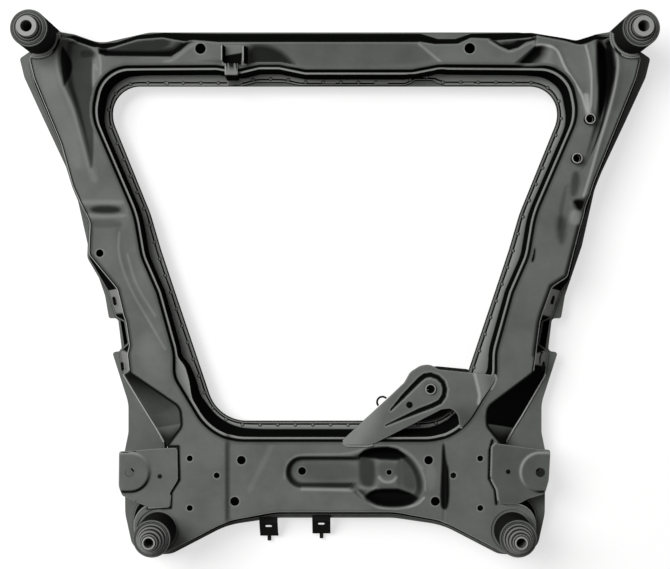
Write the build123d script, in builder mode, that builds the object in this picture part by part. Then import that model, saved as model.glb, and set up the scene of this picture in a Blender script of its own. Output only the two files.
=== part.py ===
"""Front subframe of a car, pressed and welded from sheet steel.

Four members surround an open bay. Each is an upper and a lower pressing, joined along a flat
flange. Rubber bushes in steel tubes at the four corners carry the body, and brackets on the
members hold the control arms, the steering gear and the torque rod.

Lengths are in millimetres. X points to the right side of the car, Y to its front, Z up.
The origin is on the floor, under the middle of the frame.
"""

import os
from math import asin, atan2, cos, hypot, radians, sin, sqrt, tan

from build123d import *

os.makedirs("parts", exist_ok=True)

# Sheet and heights
sheet = 2.3
parting_height = 34.0
plate_height = 80.0
ledge_drop = 7.0
ledge_height = plate_height - ledge_drop
rear_ledge_drop = 14.0
rear_ledge_height = plate_height - rear_ledge_drop
flange_top = parting_height + sheet
cutter_top = plate_height + 20.0
shoulder_drop = 5.0
shoulder_inset = 3.5
fit_gap = 0.3

# Flanges
upper_flange_width = 8.0
lower_flange_lip = 6.0
bay_flange_width = 12.0
bay_wall_lean = 5.5
lower_wall_lean = 4.0
flange_setback = 1.0
lower_shoulder = 5.0

# Corners of the upper pressing's top plate, right half, from the front clockwise:
# x, y, corner radius, and how far the wall that follows leans outwards down to the flange
front_wall_lean = 13.0
plate_corners = [
    (300.0, 372.0, 30.0, 9.0),
    (352.0, 359.0, 25.0, 9.0),
    (392.0, 378.0, 25.0, 8.0),
    (444.0, 378.0, 5.0, 6.5),
    (459.0, 345.0, 8.0, 6.5),
    (452.0, 316.0, 60.0, 6.5),
    (388.0, 158.0, 200.0, 6.5),
    (368.0, 92.0, 80.0, 6.5),
    (364.0, 40.0, 25.0, 10.0),
    (326.0, 9.0, 20.0, 15.0),
    (305.0, -123.0, 8.0, 5.0),
    (243.0, -163.0, 18.0, 5.0),
    (231.0, -192.0, 25.0, 5.0),
    (252.0, -240.0, 15.0, 4.0),
    (252.0, -322.0, 8.0, 4.0),
    (302.0, -322.0, 32.0, 4.0),
    (302.0, -397.0, 34.0, 5.0),
    (255.0, -397.0, 20.0, 7.0),
    (165.0, -350.0, 120.0, 7.0),
    (90.0, -336.0, 120.0, 7.0),
]

# Corners of the outer flange, right half: x, y, corner radius
flange_corners = [
    (285.0, 394.0, 60.0),
    (360.0, 377.0, 50.0),
    (400.0, 391.0, 30.0),
    (424.0, 395.0, 4.0),
    (446.0, 380.0, 3.0),
    (484.0, 354.0, 5.0),
    (477.0, 325.0, 40.0),
    (447.0, 260.0, 200.0),
    (400.0, 160.0, 120.0),
    (379.0, 66.0, 60.0),
    (353.0, -10.0, 40.0),
    (347.0, -45.0, 4.0),
    (333.0, -45.0, 6.0),
    (327.0, -95.0, 6.0),
    (342.0, -97.0, 4.0),
    (317.0, -175.0, 60.0),
    (317.0, -220.0, 40.0),
    (323.0, -250.0, 30.0),
    (322.0, -345.0, 60.0),
    (311.0, -395.0, 22.0),
    (283.0, -408.2, 22.0),
    (250.0, -406.2, 30.0),
    (165.0, -362.0, 120.0),
    (90.0, -351.0, 120.0),
]

# Corners of the bay's edge, on the lower pressing's flange, right half: x, y, corner radius
bay_corners = [
    (341.0, 311.0, 42.0),
    (341.0, 258.0, 50.0),
    (283.0, 115.0, 150.0),
    (267.0, 60.0, 80.0),
    (251.0, 12.0, 80.0),
    (179.0, -202.0, 60.0),
]

# Corners of the step between the ledge and the top plate, right half: x, y, corner radius
step_corners = [
    (350.0, 333.0, 50.0),
    (365.0, 262.0, 70.0),
    (303.0, 112.0, 150.0),
    (291.0, 50.0, 80.0),
    (266.0, -5.0, 60.0),
    (241.0, -95.0, 80.0),
    (240.0, -135.0, 60.0),
    (196.0, -228.0, 70.0),
]
step_lean = 2.5

# Seams between the members
front_seam_x = 352.0
front_seam_y = 285.0
rear_seam_y = -229.0
rear_seam_x = 150.0
rear_seam_inner_y = -195.0
zone_reach = 500.0
seam_growth = 1.0
cutter_reach = 5.0

# Body mounts
front_mount = (446.0, 380.5)
rear_mount = (266.0, -362.0)
mount_tube_radius = 27.3
mount_tube_wall = 2.8
front_tube_bottom = 8.0
front_tube_top = 140.0
rear_tube_bottom = 0.0
rear_tube_top = 147.0
bush_sleeve_wall = 1.6
front_rubber_drop = 5.0
front_inner_radius = 15.0
front_bolt_radius = 8.25
front_inner_rise = 16.0
rear_inner_radius = 9.5
rear_bolt_radius = 7.0
rear_inner_rise = 33.0
neck_radius = 31.7
neck_height = 6.0
tube_chamfer = 0.8
sleeve_recess = 4.0
sleeve_rise = 1.5
sleeve_chamfer = 0.5
rubber_recess = 10.0
rubber_dish = 6.0
rubber_lip = 2.5
rear_step_radii = (20.5, 17.0, 13.0)
rear_step_heights = (4.0, 13.0, 22.0)
rear_step_round = 2.0

# Lowered middle of the rear crossmember, and the keyhole pressed into it
middle_half_width = 166.0
middle_slope = 10.0
keyhole_x = -50.0
keyhole_y = -276.0
keyhole_floor_radius = 17.0
keyhole_depth = 15.0
keyhole_lean = 9.0
pocket_x = 82.0
pocket_y = -281.0
pocket_radius = 34.0
pocket_depth = 26.0
pocket_lean = 14.0
pad_width = 30.0
pad_length = 46.0
pad_corner = 6.0
pad_taper = 12.0

# Valley along the front of each side member
valley_floor = 60.0
valley_front_y = 392.0
valley_tail_y = 275.0
valley_front_x = 391.0
valley_front_width = 34.0
valley_tail_x = 394.0
valley_tail_width = 6.0
valley_slope = 35.0

# Shelf in the front wall on the left, and notch in it on the right
shelf_height = 58.0
shelf_left_x = -344.0
shelf_right_x = -258.0
shelf_back_y = 362.0
shelf_slope = 38.0
notch_x = 262.0
notch_half_width = 32.0
notch_tip_y = 359.0
notch_floor = 50.0

# Holes through the top plates: x, y, radius, on both sides
paired_holes = [
    (202.0, 361.0, 8.0),
    (218.0, -254.0, 4.5),
    (218.0, -328.5, 4.5),
    (177.5, -279.5, 4.5),
    (141.0, -257.5, 6.6),
    (151.0, -319.5, 6.9),
]
rail_hole = (-353.0, 54.0, 5.7)
keyhole_bolt_radius = 6.0
pad_hole_radius = 4.0

# Steering gear weld nuts, under the rear crossmember
gear_nut_radius = 12.0
gear_nut_height = 12.0
gear_bolt_holes = [(218.0, -254.0, 4.5), (218.0, -328.5, 4.5)]

# Stand-off nuts on the right side member
standoffs = [(381.0, 254.5), (361.5, 195.5)]
standoff_radius = 8.0
standoff_bore = 5.5
standoff_height = 12.0

# Control arm: side bolts at the front, upright bolt at the rear
side_bolt_y = (-19.0, -104.0)
side_bolt_height = 55.0
side_wall = 9
side_bolt_radius = 6.5
side_nut_radius = 9.5
side_nut_length = 14.0
arm_bolt = (306.5, -274.0)
arm_bolt_radius = 7.0
arm_bracket_sheet = 3.0
arm_bracket_corners = [
    (323.0, -243.5, 4.0),
    (236.0, -238.0, 5.0),
    (237.0, -286.0, 10.0),
    (250.0, -306.0, 8.0),
    (250.0, -327.0, 5.0),
    (290.0, -327.0, 10.0),
    (321.0, -310.0, 6.0),
]
arm_boss_radius = 30.0
arm_boss_rise = 3.0
arm_boss_wall = 2.5
arm_peg_hole = (262.0, -277.5, 3.5)
arm_nut_radius = 11.0
arm_nut_height = 14.0
skirt_bottom = 16.0
skirt_start_x = 234.0
skirt_start_y = -112.0

# Torque rod bracket
rod_sheet = 3.0
rod_bolt = (143.0, -150.0)
rod_bolt_radius = 6.0
rod_peg_hole = (112.0, -174.0, 5.0)
rod_corners = [
    (8.0, -228.0, 3.0),
    (131.5, -114.5, 30.0),
    (236.0, -126.0, 6.0),
    (229.0, -165.0, 40.0),
    (204.0, -203.0, 5.0),
    (188.0, -205.0, 8.0),
    (182.0, -183.0, 12.0),
    (165.0, -180.0, 12.0),
    (62.0, -229.5, 5.0),
    (50.0, -237.0, 3.0),
    (14.0, -237.0, 3.0),
]
rod_bead_radius = 21.0
rod_bead_width = 6.0
rod_bead_depth = 3.5
rod_bead_tips = [(82.0, -184.0), (76.0, -205.0)]
rod_nut_radius = 11.0
rod_nut_height = 12.0
rod_collar_height = 4.0
rod_collar_radius = 8.5
rod_bead_wall = 2.5
rod_lower_corners = [
    (60.0, -215.0, 5.0),
    (120.0, -140.0, 25.0),
    (150.0, -118.0, 25.0),
    (212.0, -124.0, 8.0),
    (189.0, -188.0, 20.0),
    (150.0, -209.0, 12.0),
    (100.0, -210.0, 12.0),
]
hook_distance = 86.0
hook_radius = 8.0
hook_wire = 1.5

# Hanger bracket on the front crossmember
hanger_x = -150.0
hanger_width = 40.0
hanger_back_y = 338.0
hanger_front_y = 366.0
hanger_ear_height = 20.0
hanger_sheet = 3.0
hanger_window = 18.0
hanger_strap_width = 20.0
hanger_ear_slant = 5.0
hanger_strap_reach = 12.5
hanger_strap_lean = 6.0
hanger_strap_foot = 8.5

# Clip plates on the rear edge: x of the middle, y of the flange's edge there, and name
clips = [(-102.0, -354.5, "outer"), (-21.0, -351.0, "inner")]
clip_width = 28.0
clip_sheet = 2.5
clip_tab = 5.0
clip_clear = 2.0
clip_run = 24.0
clip_drop = 26.0
clip_lip = 7.0
clip_slot_place = 8.0
clip_slot_width = 4.0
clip_slot_length = 10.0
clip_stud_radius = 3.0
clip_stud_length = 8.0


def moved_walls(points, radii, distances):
    """Move each straight wall of a clockwise outline outwards by its own distance.

    The wall that follows a corner moves along its own normal, and the new corners are where
    neighbouring walls meet. A corner that bulges gets a larger radius and a hollow one a
    smaller radius. A sharp corner stays sharp.
    """
    count = len(points)
    walls = []
    for i in range(count):
        x, y = points[i]
        next_x, next_y = points[(i + 1) % count]
        run = hypot(next_x - x, next_y - y)
        along = ((next_x - x) / run, (next_y - y) / run)
        walls.append((x - along[1] * distances[i], y + along[0] * distances[i], along))
    new_points = []
    new_radii = []
    for i in range(count):
        x1, y1, (a1, b1) = walls[i - 1]
        x2, y2, (a2, b2) = walls[i]
        turn = a1 * b2 - b1 * a2
        reach = ((x2 - x1) * b2 - (y2 - y1) * a2) / turn
        new_points.append((x1 + a1 * reach, y1 + b1 * reach))
        growth = (distances[i - 1] + distances[i]) / 2
        radius = max(radii[i] + (growth if turn < 0 else -growth), 1.0)
        new_radii.append(radius if radii[i] else 0)
    return new_points, new_radii


def half_outline(corners, distances, axis=0.0):
    """The right half of an outline, closed along the middle, with its walls moved out.

    The distances start with the wall from the middle to the first corner, then one for the
    wall that follows each corner.
    """
    points = [(axis, corners[0][1])]
    points += [(x, y) for x, y, radius in corners]
    points += [(axis, corners[-1][1])]
    radii = [0] + [radius for x, y, radius in corners] + [0]
    return moved_walls(points, radii, distances + [0])


def half_ring(corners, growth, axis=0.0):
    """The right half of an outline, all its walls moved out by one distance."""
    return half_outline(corners, [growth] * (len(corners) + 1), axis)


def plate_outline(lean_share, growth):
    """The right half of the top plate's outline, with a share of each wall's lean."""
    corners = [(x, y, radius) for x, y, radius, lean in plate_corners]
    leans = [front_wall_lean] + [lean for x, y, radius, lean in plate_corners]
    return half_outline(corners, [lean * lean_share + growth for lean in leans])


def outline_face(height, points, radii):
    """A face with rounded corners, parallel to the floor."""
    with BuildSketch(Plane.XY.offset(height)) as face:
        with BuildLine():
            FilletPolyline(*points, radius=radii, close=True)
        make_face()
    return face.sketch


def stacked(*sections):
    """A solid with straight walls between level outlines, from (height, points, radii)."""
    with BuildPart() as block:
        loft([outline_face(*section) for section in sections], ruled=True)
    return block.part


def slab(bottom, top, points, radii):
    """A flat plate with rounded corners."""
    with BuildPart() as plate:
        add(outline_face(bottom, points, radii))
        extrude(amount=top - bottom)
    return plate.part


def corner_slab(bottom, top, corners):
    """A flat plate from a list of x, y and corner radius."""
    points = [(x, y) for x, y, radius in corners]
    return slab(bottom, top, points, [radius for x, y, radius in corners])


def tapered_recess(floor, top, points, radii, lean):
    """A cutter whose outline grows by the lean from its floor up to its top."""
    wide, wide_radii = moved_walls(points, radii, [lean] * len(points))
    return stacked((floor, points, radii), (top, wide, wide_radii))


def column(places, radius, bottom, top):
    """Upright cylinders between two heights."""
    with BuildPart() as rods:
        with BuildSketch(Plane.XY.offset(bottom)):
            with Locations(*places):
                Circle(radius)
        extrude(amount=top - bottom)
    return rods.part


def mirrored(piece):
    """The same piece on the left side of the car."""
    return mirror(piece, about=Plane.YZ)


def wall_plane(corner, y, height):
    """A plane on one of the upper pressing's leaning walls, its normal pointing outwards."""
    x1, y1, radius, lean = plate_corners[corner]
    x2, y2 = plate_corners[corner + 1][:2]
    run = hypot(x2 - x1, y2 - y1)
    out_x, out_y = -(y2 - y1) / run, (x2 - x1) / run
    depth = plate_height - parting_height
    shift = lean * (plate_height - height) / depth
    x = x1 + (x2 - x1) * (y - y1) / (y2 - y1)
    return Plane(
        origin=(x + out_x * shift, y + out_y * shift, height),
        x_dir=(out_y, -out_x, 0),
        z_dir=(out_x * depth, out_y * depth, lean),
    )


def valley_cutter(inset):
    """A wedge along the right side member, deepest at the front, running out to the rear."""
    drop = plate_height - valley_floor
    slope = atan2(drop, valley_front_y - valley_tail_y)
    floor = Plane(
        origin=(0, valley_tail_y, plate_height - inset),
        x_dir=(1, 0, 0),
        z_dir=(0, sin(slope), cos(slope)),
    )
    length = (valley_front_y - valley_tail_y) / cos(slope)
    front = valley_front_width / 2 + inset
    tail = valley_tail_width / 2 + inset
    with BuildPart() as wedge:
        with BuildSketch(floor):
            with BuildLine():
                Polyline(
                    (valley_tail_x - tail, 0),
                    (valley_front_x - front, length),
                    (valley_front_x + front, length),
                    (valley_tail_x + tail, 0),
                    close=True,
                )
            make_face()
        extrude(amount=drop + inset, taper=-valley_slope)
    return wedge.part


def middle_cutter(inset):
    """Lowers the rear crossmember's middle to the height of the ledge."""
    half = middle_half_width - middle_slope + inset
    points = [
        (-cutter_reach, rear_seam_inner_y),
        (half, rear_seam_inner_y),
        (half, -zone_reach),
        (-cutter_reach, -zone_reach),
    ]
    return tapered_recess(ledge_height - inset, plate_height + 1, points, [0] * 4, middle_slope)


def rear_ledge_cutter(inset):
    """The ledge along the rear crossmember, lower than on the other members."""
    step_y = step_corners[-1][1]
    with BuildPart() as cutter:
        with BuildSketch(Plane.XY.offset(rear_ledge_height - inset)):
            with Locations((-cutter_reach, step_y - inset)):
                Rectangle(
                    cutter_reach + rear_seam_x - 10 + inset,
                    rear_seam_inner_y - step_y + inset,
                    align=Align.MIN,
                )
        extrude(amount=plate_height)
    return cutter.part


def upper_form(inset):
    """The right half of the upper pressing as a block, or its hollow at the given inset."""
    depth = plate_height - parting_height
    bottom = parting_height - inset
    shoulder = plate_height - shoulder_drop
    bay_lean = bay_wall_lean * (plate_height - bottom) / depth
    with BuildPart() as form:
        add(
            stacked(
                (bottom, *plate_outline((plate_height - bottom) / depth, -inset)),
                (shoulder, *plate_outline(shoulder_drop / depth, -inset)),
                (plate_height - inset, *plate_outline(0, -shoulder_inset - inset)),
            )
        )
        base = bay_flange_width + inset
        bay = stacked(
            (bottom - 1, *half_ring(bay_corners, base, -cutter_reach)),
            (plate_height + 1, *half_ring(bay_corners, base + bay_lean, -cutter_reach)),
        )
        step = stacked(
            (ledge_height - inset, *half_ring(step_corners, inset - step_lean, -cutter_reach)),
            (plate_height + 1, *half_ring(step_corners, inset, -cutter_reach)),
        )
        cutters = [bay, step, middle_cutter(inset), rear_ledge_cutter(inset), valley_cutter(inset)]
        add(cutters, mode=Mode.SUBTRACT)
    return form.part


def lower_form(inset):
    """The right half of the lower pressing's tray as a block, or its hollow."""
    top = parting_height + (1 if inset else 0)
    foot = lower_wall_lean + lower_shoulder
    with BuildPart() as form:
        add(
            stacked(
                (inset, *plate_outline(1, -foot - inset)),
                (lower_shoulder, *plate_outline(1, -lower_wall_lean - inset)),
                (top, *plate_outline(1, -inset)),
            )
        )
        base = bay_flange_width + inset
        bay = stacked(
            (-1, *half_ring(bay_corners, base + foot, -cutter_reach)),
            (top + 1, *half_ring(bay_corners, base, -cutter_reach)),
        )
        add(bay, mode=Mode.SUBTRACT)
    return form.part


def shelf_cutter(inset):
    """The cut that leaves a low shelf in the front wall, on the left."""
    reach = front_mount[1] + mount_tube_radius
    points = [
        (shelf_left_x - inset, shelf_back_y - inset),
        (shelf_left_x - inset, reach),
        (shelf_right_x + inset, reach),
        (shelf_right_x + inset, shelf_back_y - inset),
    ]
    lean = (plate_height - shelf_height) * tan(radians(shelf_slope))
    return tapered_recess(shelf_height - inset, plate_height + 1, points, [6.0] * 4, lean)


def notch_cutter(inset):
    """The V-shaped cut in the front wall, on the right."""
    reach = front_mount[1] + mount_tube_radius
    spread = notch_half_width * (reach - notch_tip_y) / (plate_corners[0][1] - notch_tip_y)
    points = [
        (notch_x, notch_tip_y - 1.5 * inset),
        (notch_x - spread - inset, reach),
        (notch_x + spread + inset, reach),
    ]
    return tapered_recess(notch_floor - inset, plate_height + 1, points, [5.0, 1.0, 1.0], 3.0)


def keyhole_cutter(inset):
    """The slot and the deep round pocket, with the pad left standing in the pocket."""
    floor = ledge_height - keyhole_depth - inset
    half = keyhole_floor_radius + inset
    points = [
        (keyhole_x - half, keyhole_y + half),
        (pocket_x, keyhole_y + half),
        (pocket_x, keyhole_y - half),
        (keyhole_x - half, keyhole_y - half),
    ]
    radii = [half - 1, 0, 0, half - 1]
    slot = tapered_recess(floor, ledge_height, points, radii, keyhole_lean)
    with BuildPart() as cutter:
        with BuildSketch(Plane.XY.offset(ledge_height - pocket_depth - inset)):
            with Locations((pocket_x, pocket_y)):
                Circle(pocket_radius + inset)
        with BuildSketch(Plane.XY.offset(ledge_height)):
            with Locations((pocket_x, pocket_y)):
                Circle(pocket_radius + pocket_lean + inset)
        loft()
        with BuildSketch(Plane.XY.offset(floor)):
            with Locations((pocket_x, keyhole_y)):
                RectangleRounded(pad_width - 2 * inset, pad_length - 2 * inset, pad_corner)
        extrude(amount=-pocket_depth, taper=-pad_taper, mode=Mode.SUBTRACT)
        add(slot)
    return cutter.part


def tube(place, outer, inner, bottom, top, edge):
    """An upright round tube with chamfered rims."""
    with BuildPart() as sleeve:
        with BuildSketch(Plane.XY.offset(bottom)):
            with Locations(place):
                Circle(outer)
                Circle(inner, mode=Mode.SUBTRACT)
        extrude(amount=top - bottom)
        chamfer(sleeve.edges().filter_by(GeomType.CIRCLE), edge)
    return sleeve.part


def turned(place, profile):
    """A ring turned about an upright axis, from radius and height pairs."""
    with BuildPart() as solid:
        with BuildSketch(Plane.XZ):
            with BuildLine():
                Polyline(*profile, close=True)
            make_face()
        revolve(axis=Axis.Z)
    return solid.part.moved(Location((*place, 0)))


def hexagon_nut(plane, across_flats, bore, length):
    """A weld nut that stands on a plane."""
    with BuildPart() as nut:
        with BuildSketch(plane):
            RegularPolygon(across_flats / 2, 6, major_radius=False, rotation=30)
            Circle(bore, mode=Mode.SUBTRACT)
        extrude(amount=length)
    return nut.part


def tangent_point(tip, centre, radius, side):
    """Where a line from the tip touches a circle, on the side named by plus or minus one."""
    dx, dy = centre[0] - tip[0], centre[1] - tip[1]
    distance = hypot(dx, dy)
    angle = atan2(dy, dx) + side * asin(radius / distance)
    reach = sqrt(distance**2 - radius**2)
    return tip[0] + reach * cos(angle), tip[1] + reach * sin(angle)


def finish(name, piece):
    """Label a finished piece and write it."""
    piece.label = name
    export_step(piece, f"parts/{name}.step")


def front_zone(growth):
    """The right half of the space that the front crossmember takes."""
    with BuildPart() as block:
        with BuildSketch():
            with Locations((0, front_seam_y - growth)):
                Rectangle(front_seam_x + growth, zone_reach, align=Align.MIN)
        extrude(amount=zone_reach, both=True)
    return block.part


def rear_zone(growth):
    """The right half of the space that the rear crossmember takes."""
    with BuildPart() as block:
        with BuildSketch():
            with Locations((0, rear_seam_y + growth)):
                Rectangle(zone_reach, zone_reach, align=(Align.MIN, Align.MAX))
            with Locations((0, rear_seam_inner_y + growth)):
                Rectangle(rear_seam_x + growth, zone_reach, align=(Align.MIN, Align.MAX))
        extrude(amount=zone_reach, both=True)
    return block.part


def both_sides(piece, block):
    """What a half pressing has inside a block, together with its mirror image."""
    half = piece & block
    return half + mirrored(half)


# Upper pressing, right half: the outside with its holes, and the hollow
upper_block = upper_form(0)
upper_hollow = upper_form(sheet)
with BuildPart() as upper:
    add(slab(parting_height, flange_top, *plate_outline(1, upper_flange_width)))
    trim = slab(0, plate_height, *half_ring(flange_corners, -flange_setback))
    add(trim, mode=Mode.INTERSECT)
    add(slab(0, plate_height, *half_ring(bay_corners, lower_flange_lip)), mode=Mode.SUBTRACT)
    add(upper_block)
    cutters = [
        column([front_mount], mount_tube_radius + fit_gap, 0, front_tube_top),
        column([rear_mount], neck_radius + fit_gap, 0, rear_tube_top),
    ]
    cutters += [column([(x, y)], radius, parting_height, cutter_top) for x, y, radius in paired_holes]
    for y in side_bolt_y:
        with BuildPart(mode=Mode.PRIVATE) as rod:
            with BuildSketch(wall_plane(side_wall, y, side_bolt_height)):
                Circle(side_bolt_radius)
            extrude(amount=side_nut_length, both=True)
        cutters.append(rod.part)
    add(cutters, mode=Mode.SUBTRACT)

# Lower pressing, right half, with the skirt that stiffens the outrigger
with BuildPart() as lower:
    add(slab(skirt_bottom, parting_height, *half_ring(flange_corners, 0.0)))
    add(slab(0, parting_height - sheet, *half_ring(flange_corners, -sheet)), mode=Mode.SUBTRACT)
    with BuildSketch():
        with Locations((skirt_start_x, skirt_start_y)):
            Rectangle(zone_reach, zone_reach, align=(Align.MIN, Align.MAX))
    extrude(amount=zone_reach, mode=Mode.INTERSECT)
    add(slab(parting_height - sheet, parting_height, *half_ring(flange_corners, 0.0)))
    add(lower_form(0))
    cutters = [
        slab(-1, parting_height + 1, *half_ring(bay_corners, 0.0)),
        lower_form(sheet),
        column([front_mount, rear_mount], mount_tube_radius + fit_gap, -1, rear_tube_top),
        column([arm_bolt], arm_bolt_radius, 0, plate_height),
    ]
    add(cutters, mode=Mode.SUBTRACT)

# Front crossmember
with BuildPart() as front_hollow:
    add(both_sides(upper_hollow, front_zone(seam_growth)))
    add([shelf_cutter(sheet), notch_cutter(sheet)], mode=Mode.SUBTRACT)
with BuildPart() as front_crossmember_upper:
    add(both_sides(upper.part, front_zone(0)))
    add([shelf_cutter(0), notch_cutter(0)], mode=Mode.SUBTRACT)
    add(front_hollow.part, mode=Mode.SUBTRACT)
finish("front_crossmember_upper", front_crossmember_upper.part)
finish("front_crossmember_lower", both_sides(lower.part, front_zone(0)))

# Rear crossmember
with BuildPart() as rear_hollow:
    add(both_sides(upper_hollow, rear_zone(seam_growth)))
    add(keyhole_cutter(sheet), mode=Mode.SUBTRACT)
with BuildPart() as rear_crossmember_upper:
    add(both_sides(upper.part, rear_zone(0)))
    keyhole_bores = [
        keyhole_cutter(0),
        column([(keyhole_x, keyhole_y)], keyhole_bolt_radius, parting_height, plate_height),
        column([(pocket_x, keyhole_y)], pad_hole_radius, parting_height, plate_height),
    ]
    add(keyhole_bores, mode=Mode.SUBTRACT)
    add(rear_hollow.part, mode=Mode.SUBTRACT)
finish("rear_crossmember_upper", rear_crossmember_upper.part)
finish("rear_crossmember_lower", both_sides(lower.part, rear_zone(0)))

# Side members
with BuildPart() as right_side_member_upper:
    add(upper.part)
    cutters = [front_zone(0), rear_zone(0), upper_hollow]
    add(cutters, mode=Mode.SUBTRACT)
with BuildPart() as left_side_member_upper:
    add(mirrored(right_side_member_upper.part))
    rail_bore = column([rail_hole[:2]], rail_hole[2], parting_height, plate_height + 1)
    add(rail_bore, mode=Mode.SUBTRACT)
with right_side_member_upper:
    standoff_bores = column(standoffs, standoff_bore, parting_height, plate_height + 1)
    add(standoff_bores, mode=Mode.SUBTRACT)
with BuildPart() as right_side_member_lower:
    add(lower.part)
    cutters = [front_zone(0), rear_zone(0)]
    add(cutters, mode=Mode.SUBTRACT)
finish("right_side_member_upper", right_side_member_upper.part)
finish("left_side_member_upper", left_side_member_upper.part)
finish("right_side_member_lower", right_side_member_lower.part)
finish("left_side_member_lower", mirrored(right_side_member_lower.part))

# Front mounts: a welded tube with its bush
tube_bore = mount_tube_radius - mount_tube_wall
sleeve_outer = tube_bore - fit_gap
sleeve_inner = sleeve_outer - bush_sleeve_wall
front_mount_pieces = {
    "front_mount_tube": tube(
        front_mount, mount_tube_radius, tube_bore, front_tube_bottom, front_tube_top, tube_chamfer
    ),
    "front_bush_outer_sleeve": tube(
        front_mount,
        sleeve_outer,
        sleeve_inner,
        front_tube_bottom + sleeve_recess,
        front_tube_top + sleeve_rise,
        sleeve_chamfer,
    ),
    "front_bush_rubber": turned(
        front_mount,
        [
            (front_inner_radius, front_tube_bottom + rubber_recess),
            (sleeve_inner, front_tube_bottom + rubber_recess + rubber_dish),
            (sleeve_inner, front_tube_top - front_rubber_drop),
            (sleeve_inner - rubber_lip, front_tube_top - front_rubber_drop),
            (front_inner_radius + rubber_lip, front_tube_top + front_inner_rise - rubber_dish),
            (front_inner_radius, front_tube_top + front_inner_rise - rubber_lip),
        ],
    ),
    "front_bush_inner_sleeve": tube(
        front_mount,
        front_inner_radius,
        front_bolt_radius,
        front_tube_bottom + sleeve_recess,
        front_tube_top + front_inner_rise,
        sleeve_chamfer,
    ),
}

# Rear mounts: a welded tube with a neck ring, and a stepped bush that stands above it
rear_top = rear_tube_top + rear_inner_rise
with BuildPart() as rear_tube:
    add(
        tube(
            rear_mount, mount_tube_radius, tube_bore, rear_tube_bottom, rear_tube_top, tube_chamfer
        )
    )
    with BuildSketch(Plane.XY.offset(plate_height - sheet - neck_height)):
        with Locations(rear_mount):
            Circle(neck_radius)
            Circle(mount_tube_radius, mode=Mode.SUBTRACT)
    extrude(amount=neck_height)
rear_mount_pieces = {
    "rear_mount_tube": rear_tube.part,
    "rear_bush_outer_sleeve": tube(
        rear_mount,
        sleeve_outer,
        sleeve_inner,
        rear_tube_bottom + sleeve_recess,
        rear_tube_top + sleeve_rise,
        sleeve_chamfer,
    ),
    "rear_bush_rubber": turned(
        rear_mount,
        [
            (rear_inner_radius, rear_tube_bottom + rubber_recess),
            (sleeve_inner, rear_tube_bottom + rubber_recess + rubber_dish),
            (sleeve_inner, rear_tube_top + rear_step_heights[0]),
            (rear_step_radii[0], rear_tube_top + rear_step_heights[0] + rear_step_round),
            (rear_step_radii[0] - rear_step_round, rear_tube_top + rear_step_heights[1]),
            (rear_step_radii[1], rear_tube_top + rear_step_heights[1] + rear_step_round),
            (rear_step_radii[1] - rear_step_round, rear_tube_top + rear_step_heights[2]),
            (rear_step_radii[2], rear_tube_top + rear_step_heights[2] + rear_step_round),
            (rear_step_radii[2] - rear_step_round, rear_top - rubber_lip),
            (rear_inner_radius, rear_top - rubber_lip),
        ],
    ),
    "rear_bush_inner_sleeve": tube(
        rear_mount,
        rear_inner_radius,
        rear_bolt_radius,
        rear_tube_bottom + sleeve_recess,
        rear_top,
        sleeve_chamfer,
    ),
}
for name, piece in {**front_mount_pieces, **rear_mount_pieces}.items():
    finish(f"left_{name}", mirrored(piece))
    finish(f"right_{name}", piece)

# Control arm brackets: the upper plate with its raised half disc, and the nuts
with BuildPart() as right_arm_bracket:
    plate = corner_slab(plate_height, plate_height + arm_bracket_sheet, arm_bracket_corners)
    add(plate)
    raised = corner_slab(plate_height, plate_height + 2 * arm_boss_rise, arm_bracket_corners)
    boss = column([arm_bolt], arm_boss_radius, 0, plate_height + arm_bracket_sheet + arm_boss_rise)
    add(raised & boss)
    hollow = column([arm_bolt], arm_boss_radius - arm_boss_wall, 0, plate_height + arm_boss_rise)
    bores = [
        hollow,
        column([arm_bolt], arm_bolt_radius, 0, rear_tube_top),
        column([arm_peg_hole[:2]], arm_peg_hole[2], 0, rear_tube_top),
    ]
    add(bores, mode=Mode.SUBTRACT)
arm_nut_plane = Plane.XY.offset(parting_height - sheet - arm_nut_height)
arm_nut_plane.origin = (*arm_bolt, parting_height - sheet - arm_nut_height)
arm_nut = hexagon_nut(arm_nut_plane, 2 * arm_nut_radius, arm_bolt_radius, arm_nut_height)
side_nuts = []
for y in side_bolt_y:
    inner_face = wall_plane(side_wall, y, side_bolt_height).offset(-sheet - side_nut_length)
    side_nuts.append(
        hexagon_nut(inner_face, 2 * side_nut_radius, side_bolt_radius, side_nut_length)
    )
side_nut_pair = Compound(children=side_nuts)
finish("right_arm_bracket", right_arm_bracket.part)
finish("left_arm_bracket", mirrored(right_arm_bracket.part))
finish("right_arm_nut", arm_nut)
finish("left_arm_nut", mirrored(arm_nut))
finish("right_arm_side_nuts", side_nut_pair)
finish("left_arm_side_nuts", mirrored(Compound(children=[copy_of for copy_of in side_nuts])))

# Steering gear weld nuts, under the top plate
gear_nuts = []
for x, y, radius in gear_bolt_holes:
    for side in (-1, 1):
        seat = Plane(origin=(side * x, y, plate_height - sheet - gear_nut_height))
        gear_nuts.append(hexagon_nut(seat, 2 * gear_nut_radius, radius, gear_nut_height))
finish("steering_gear_nuts", Compound(children=gear_nuts))

# Stand-off nuts on the right side member
standoff_nuts = [
    tube(place, standoff_radius, standoff_bore, plate_height, plate_height + standoff_height, 1.0)
    for place in standoffs
]
finish("standoff_nuts", Compound(children=standoff_nuts))

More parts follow.
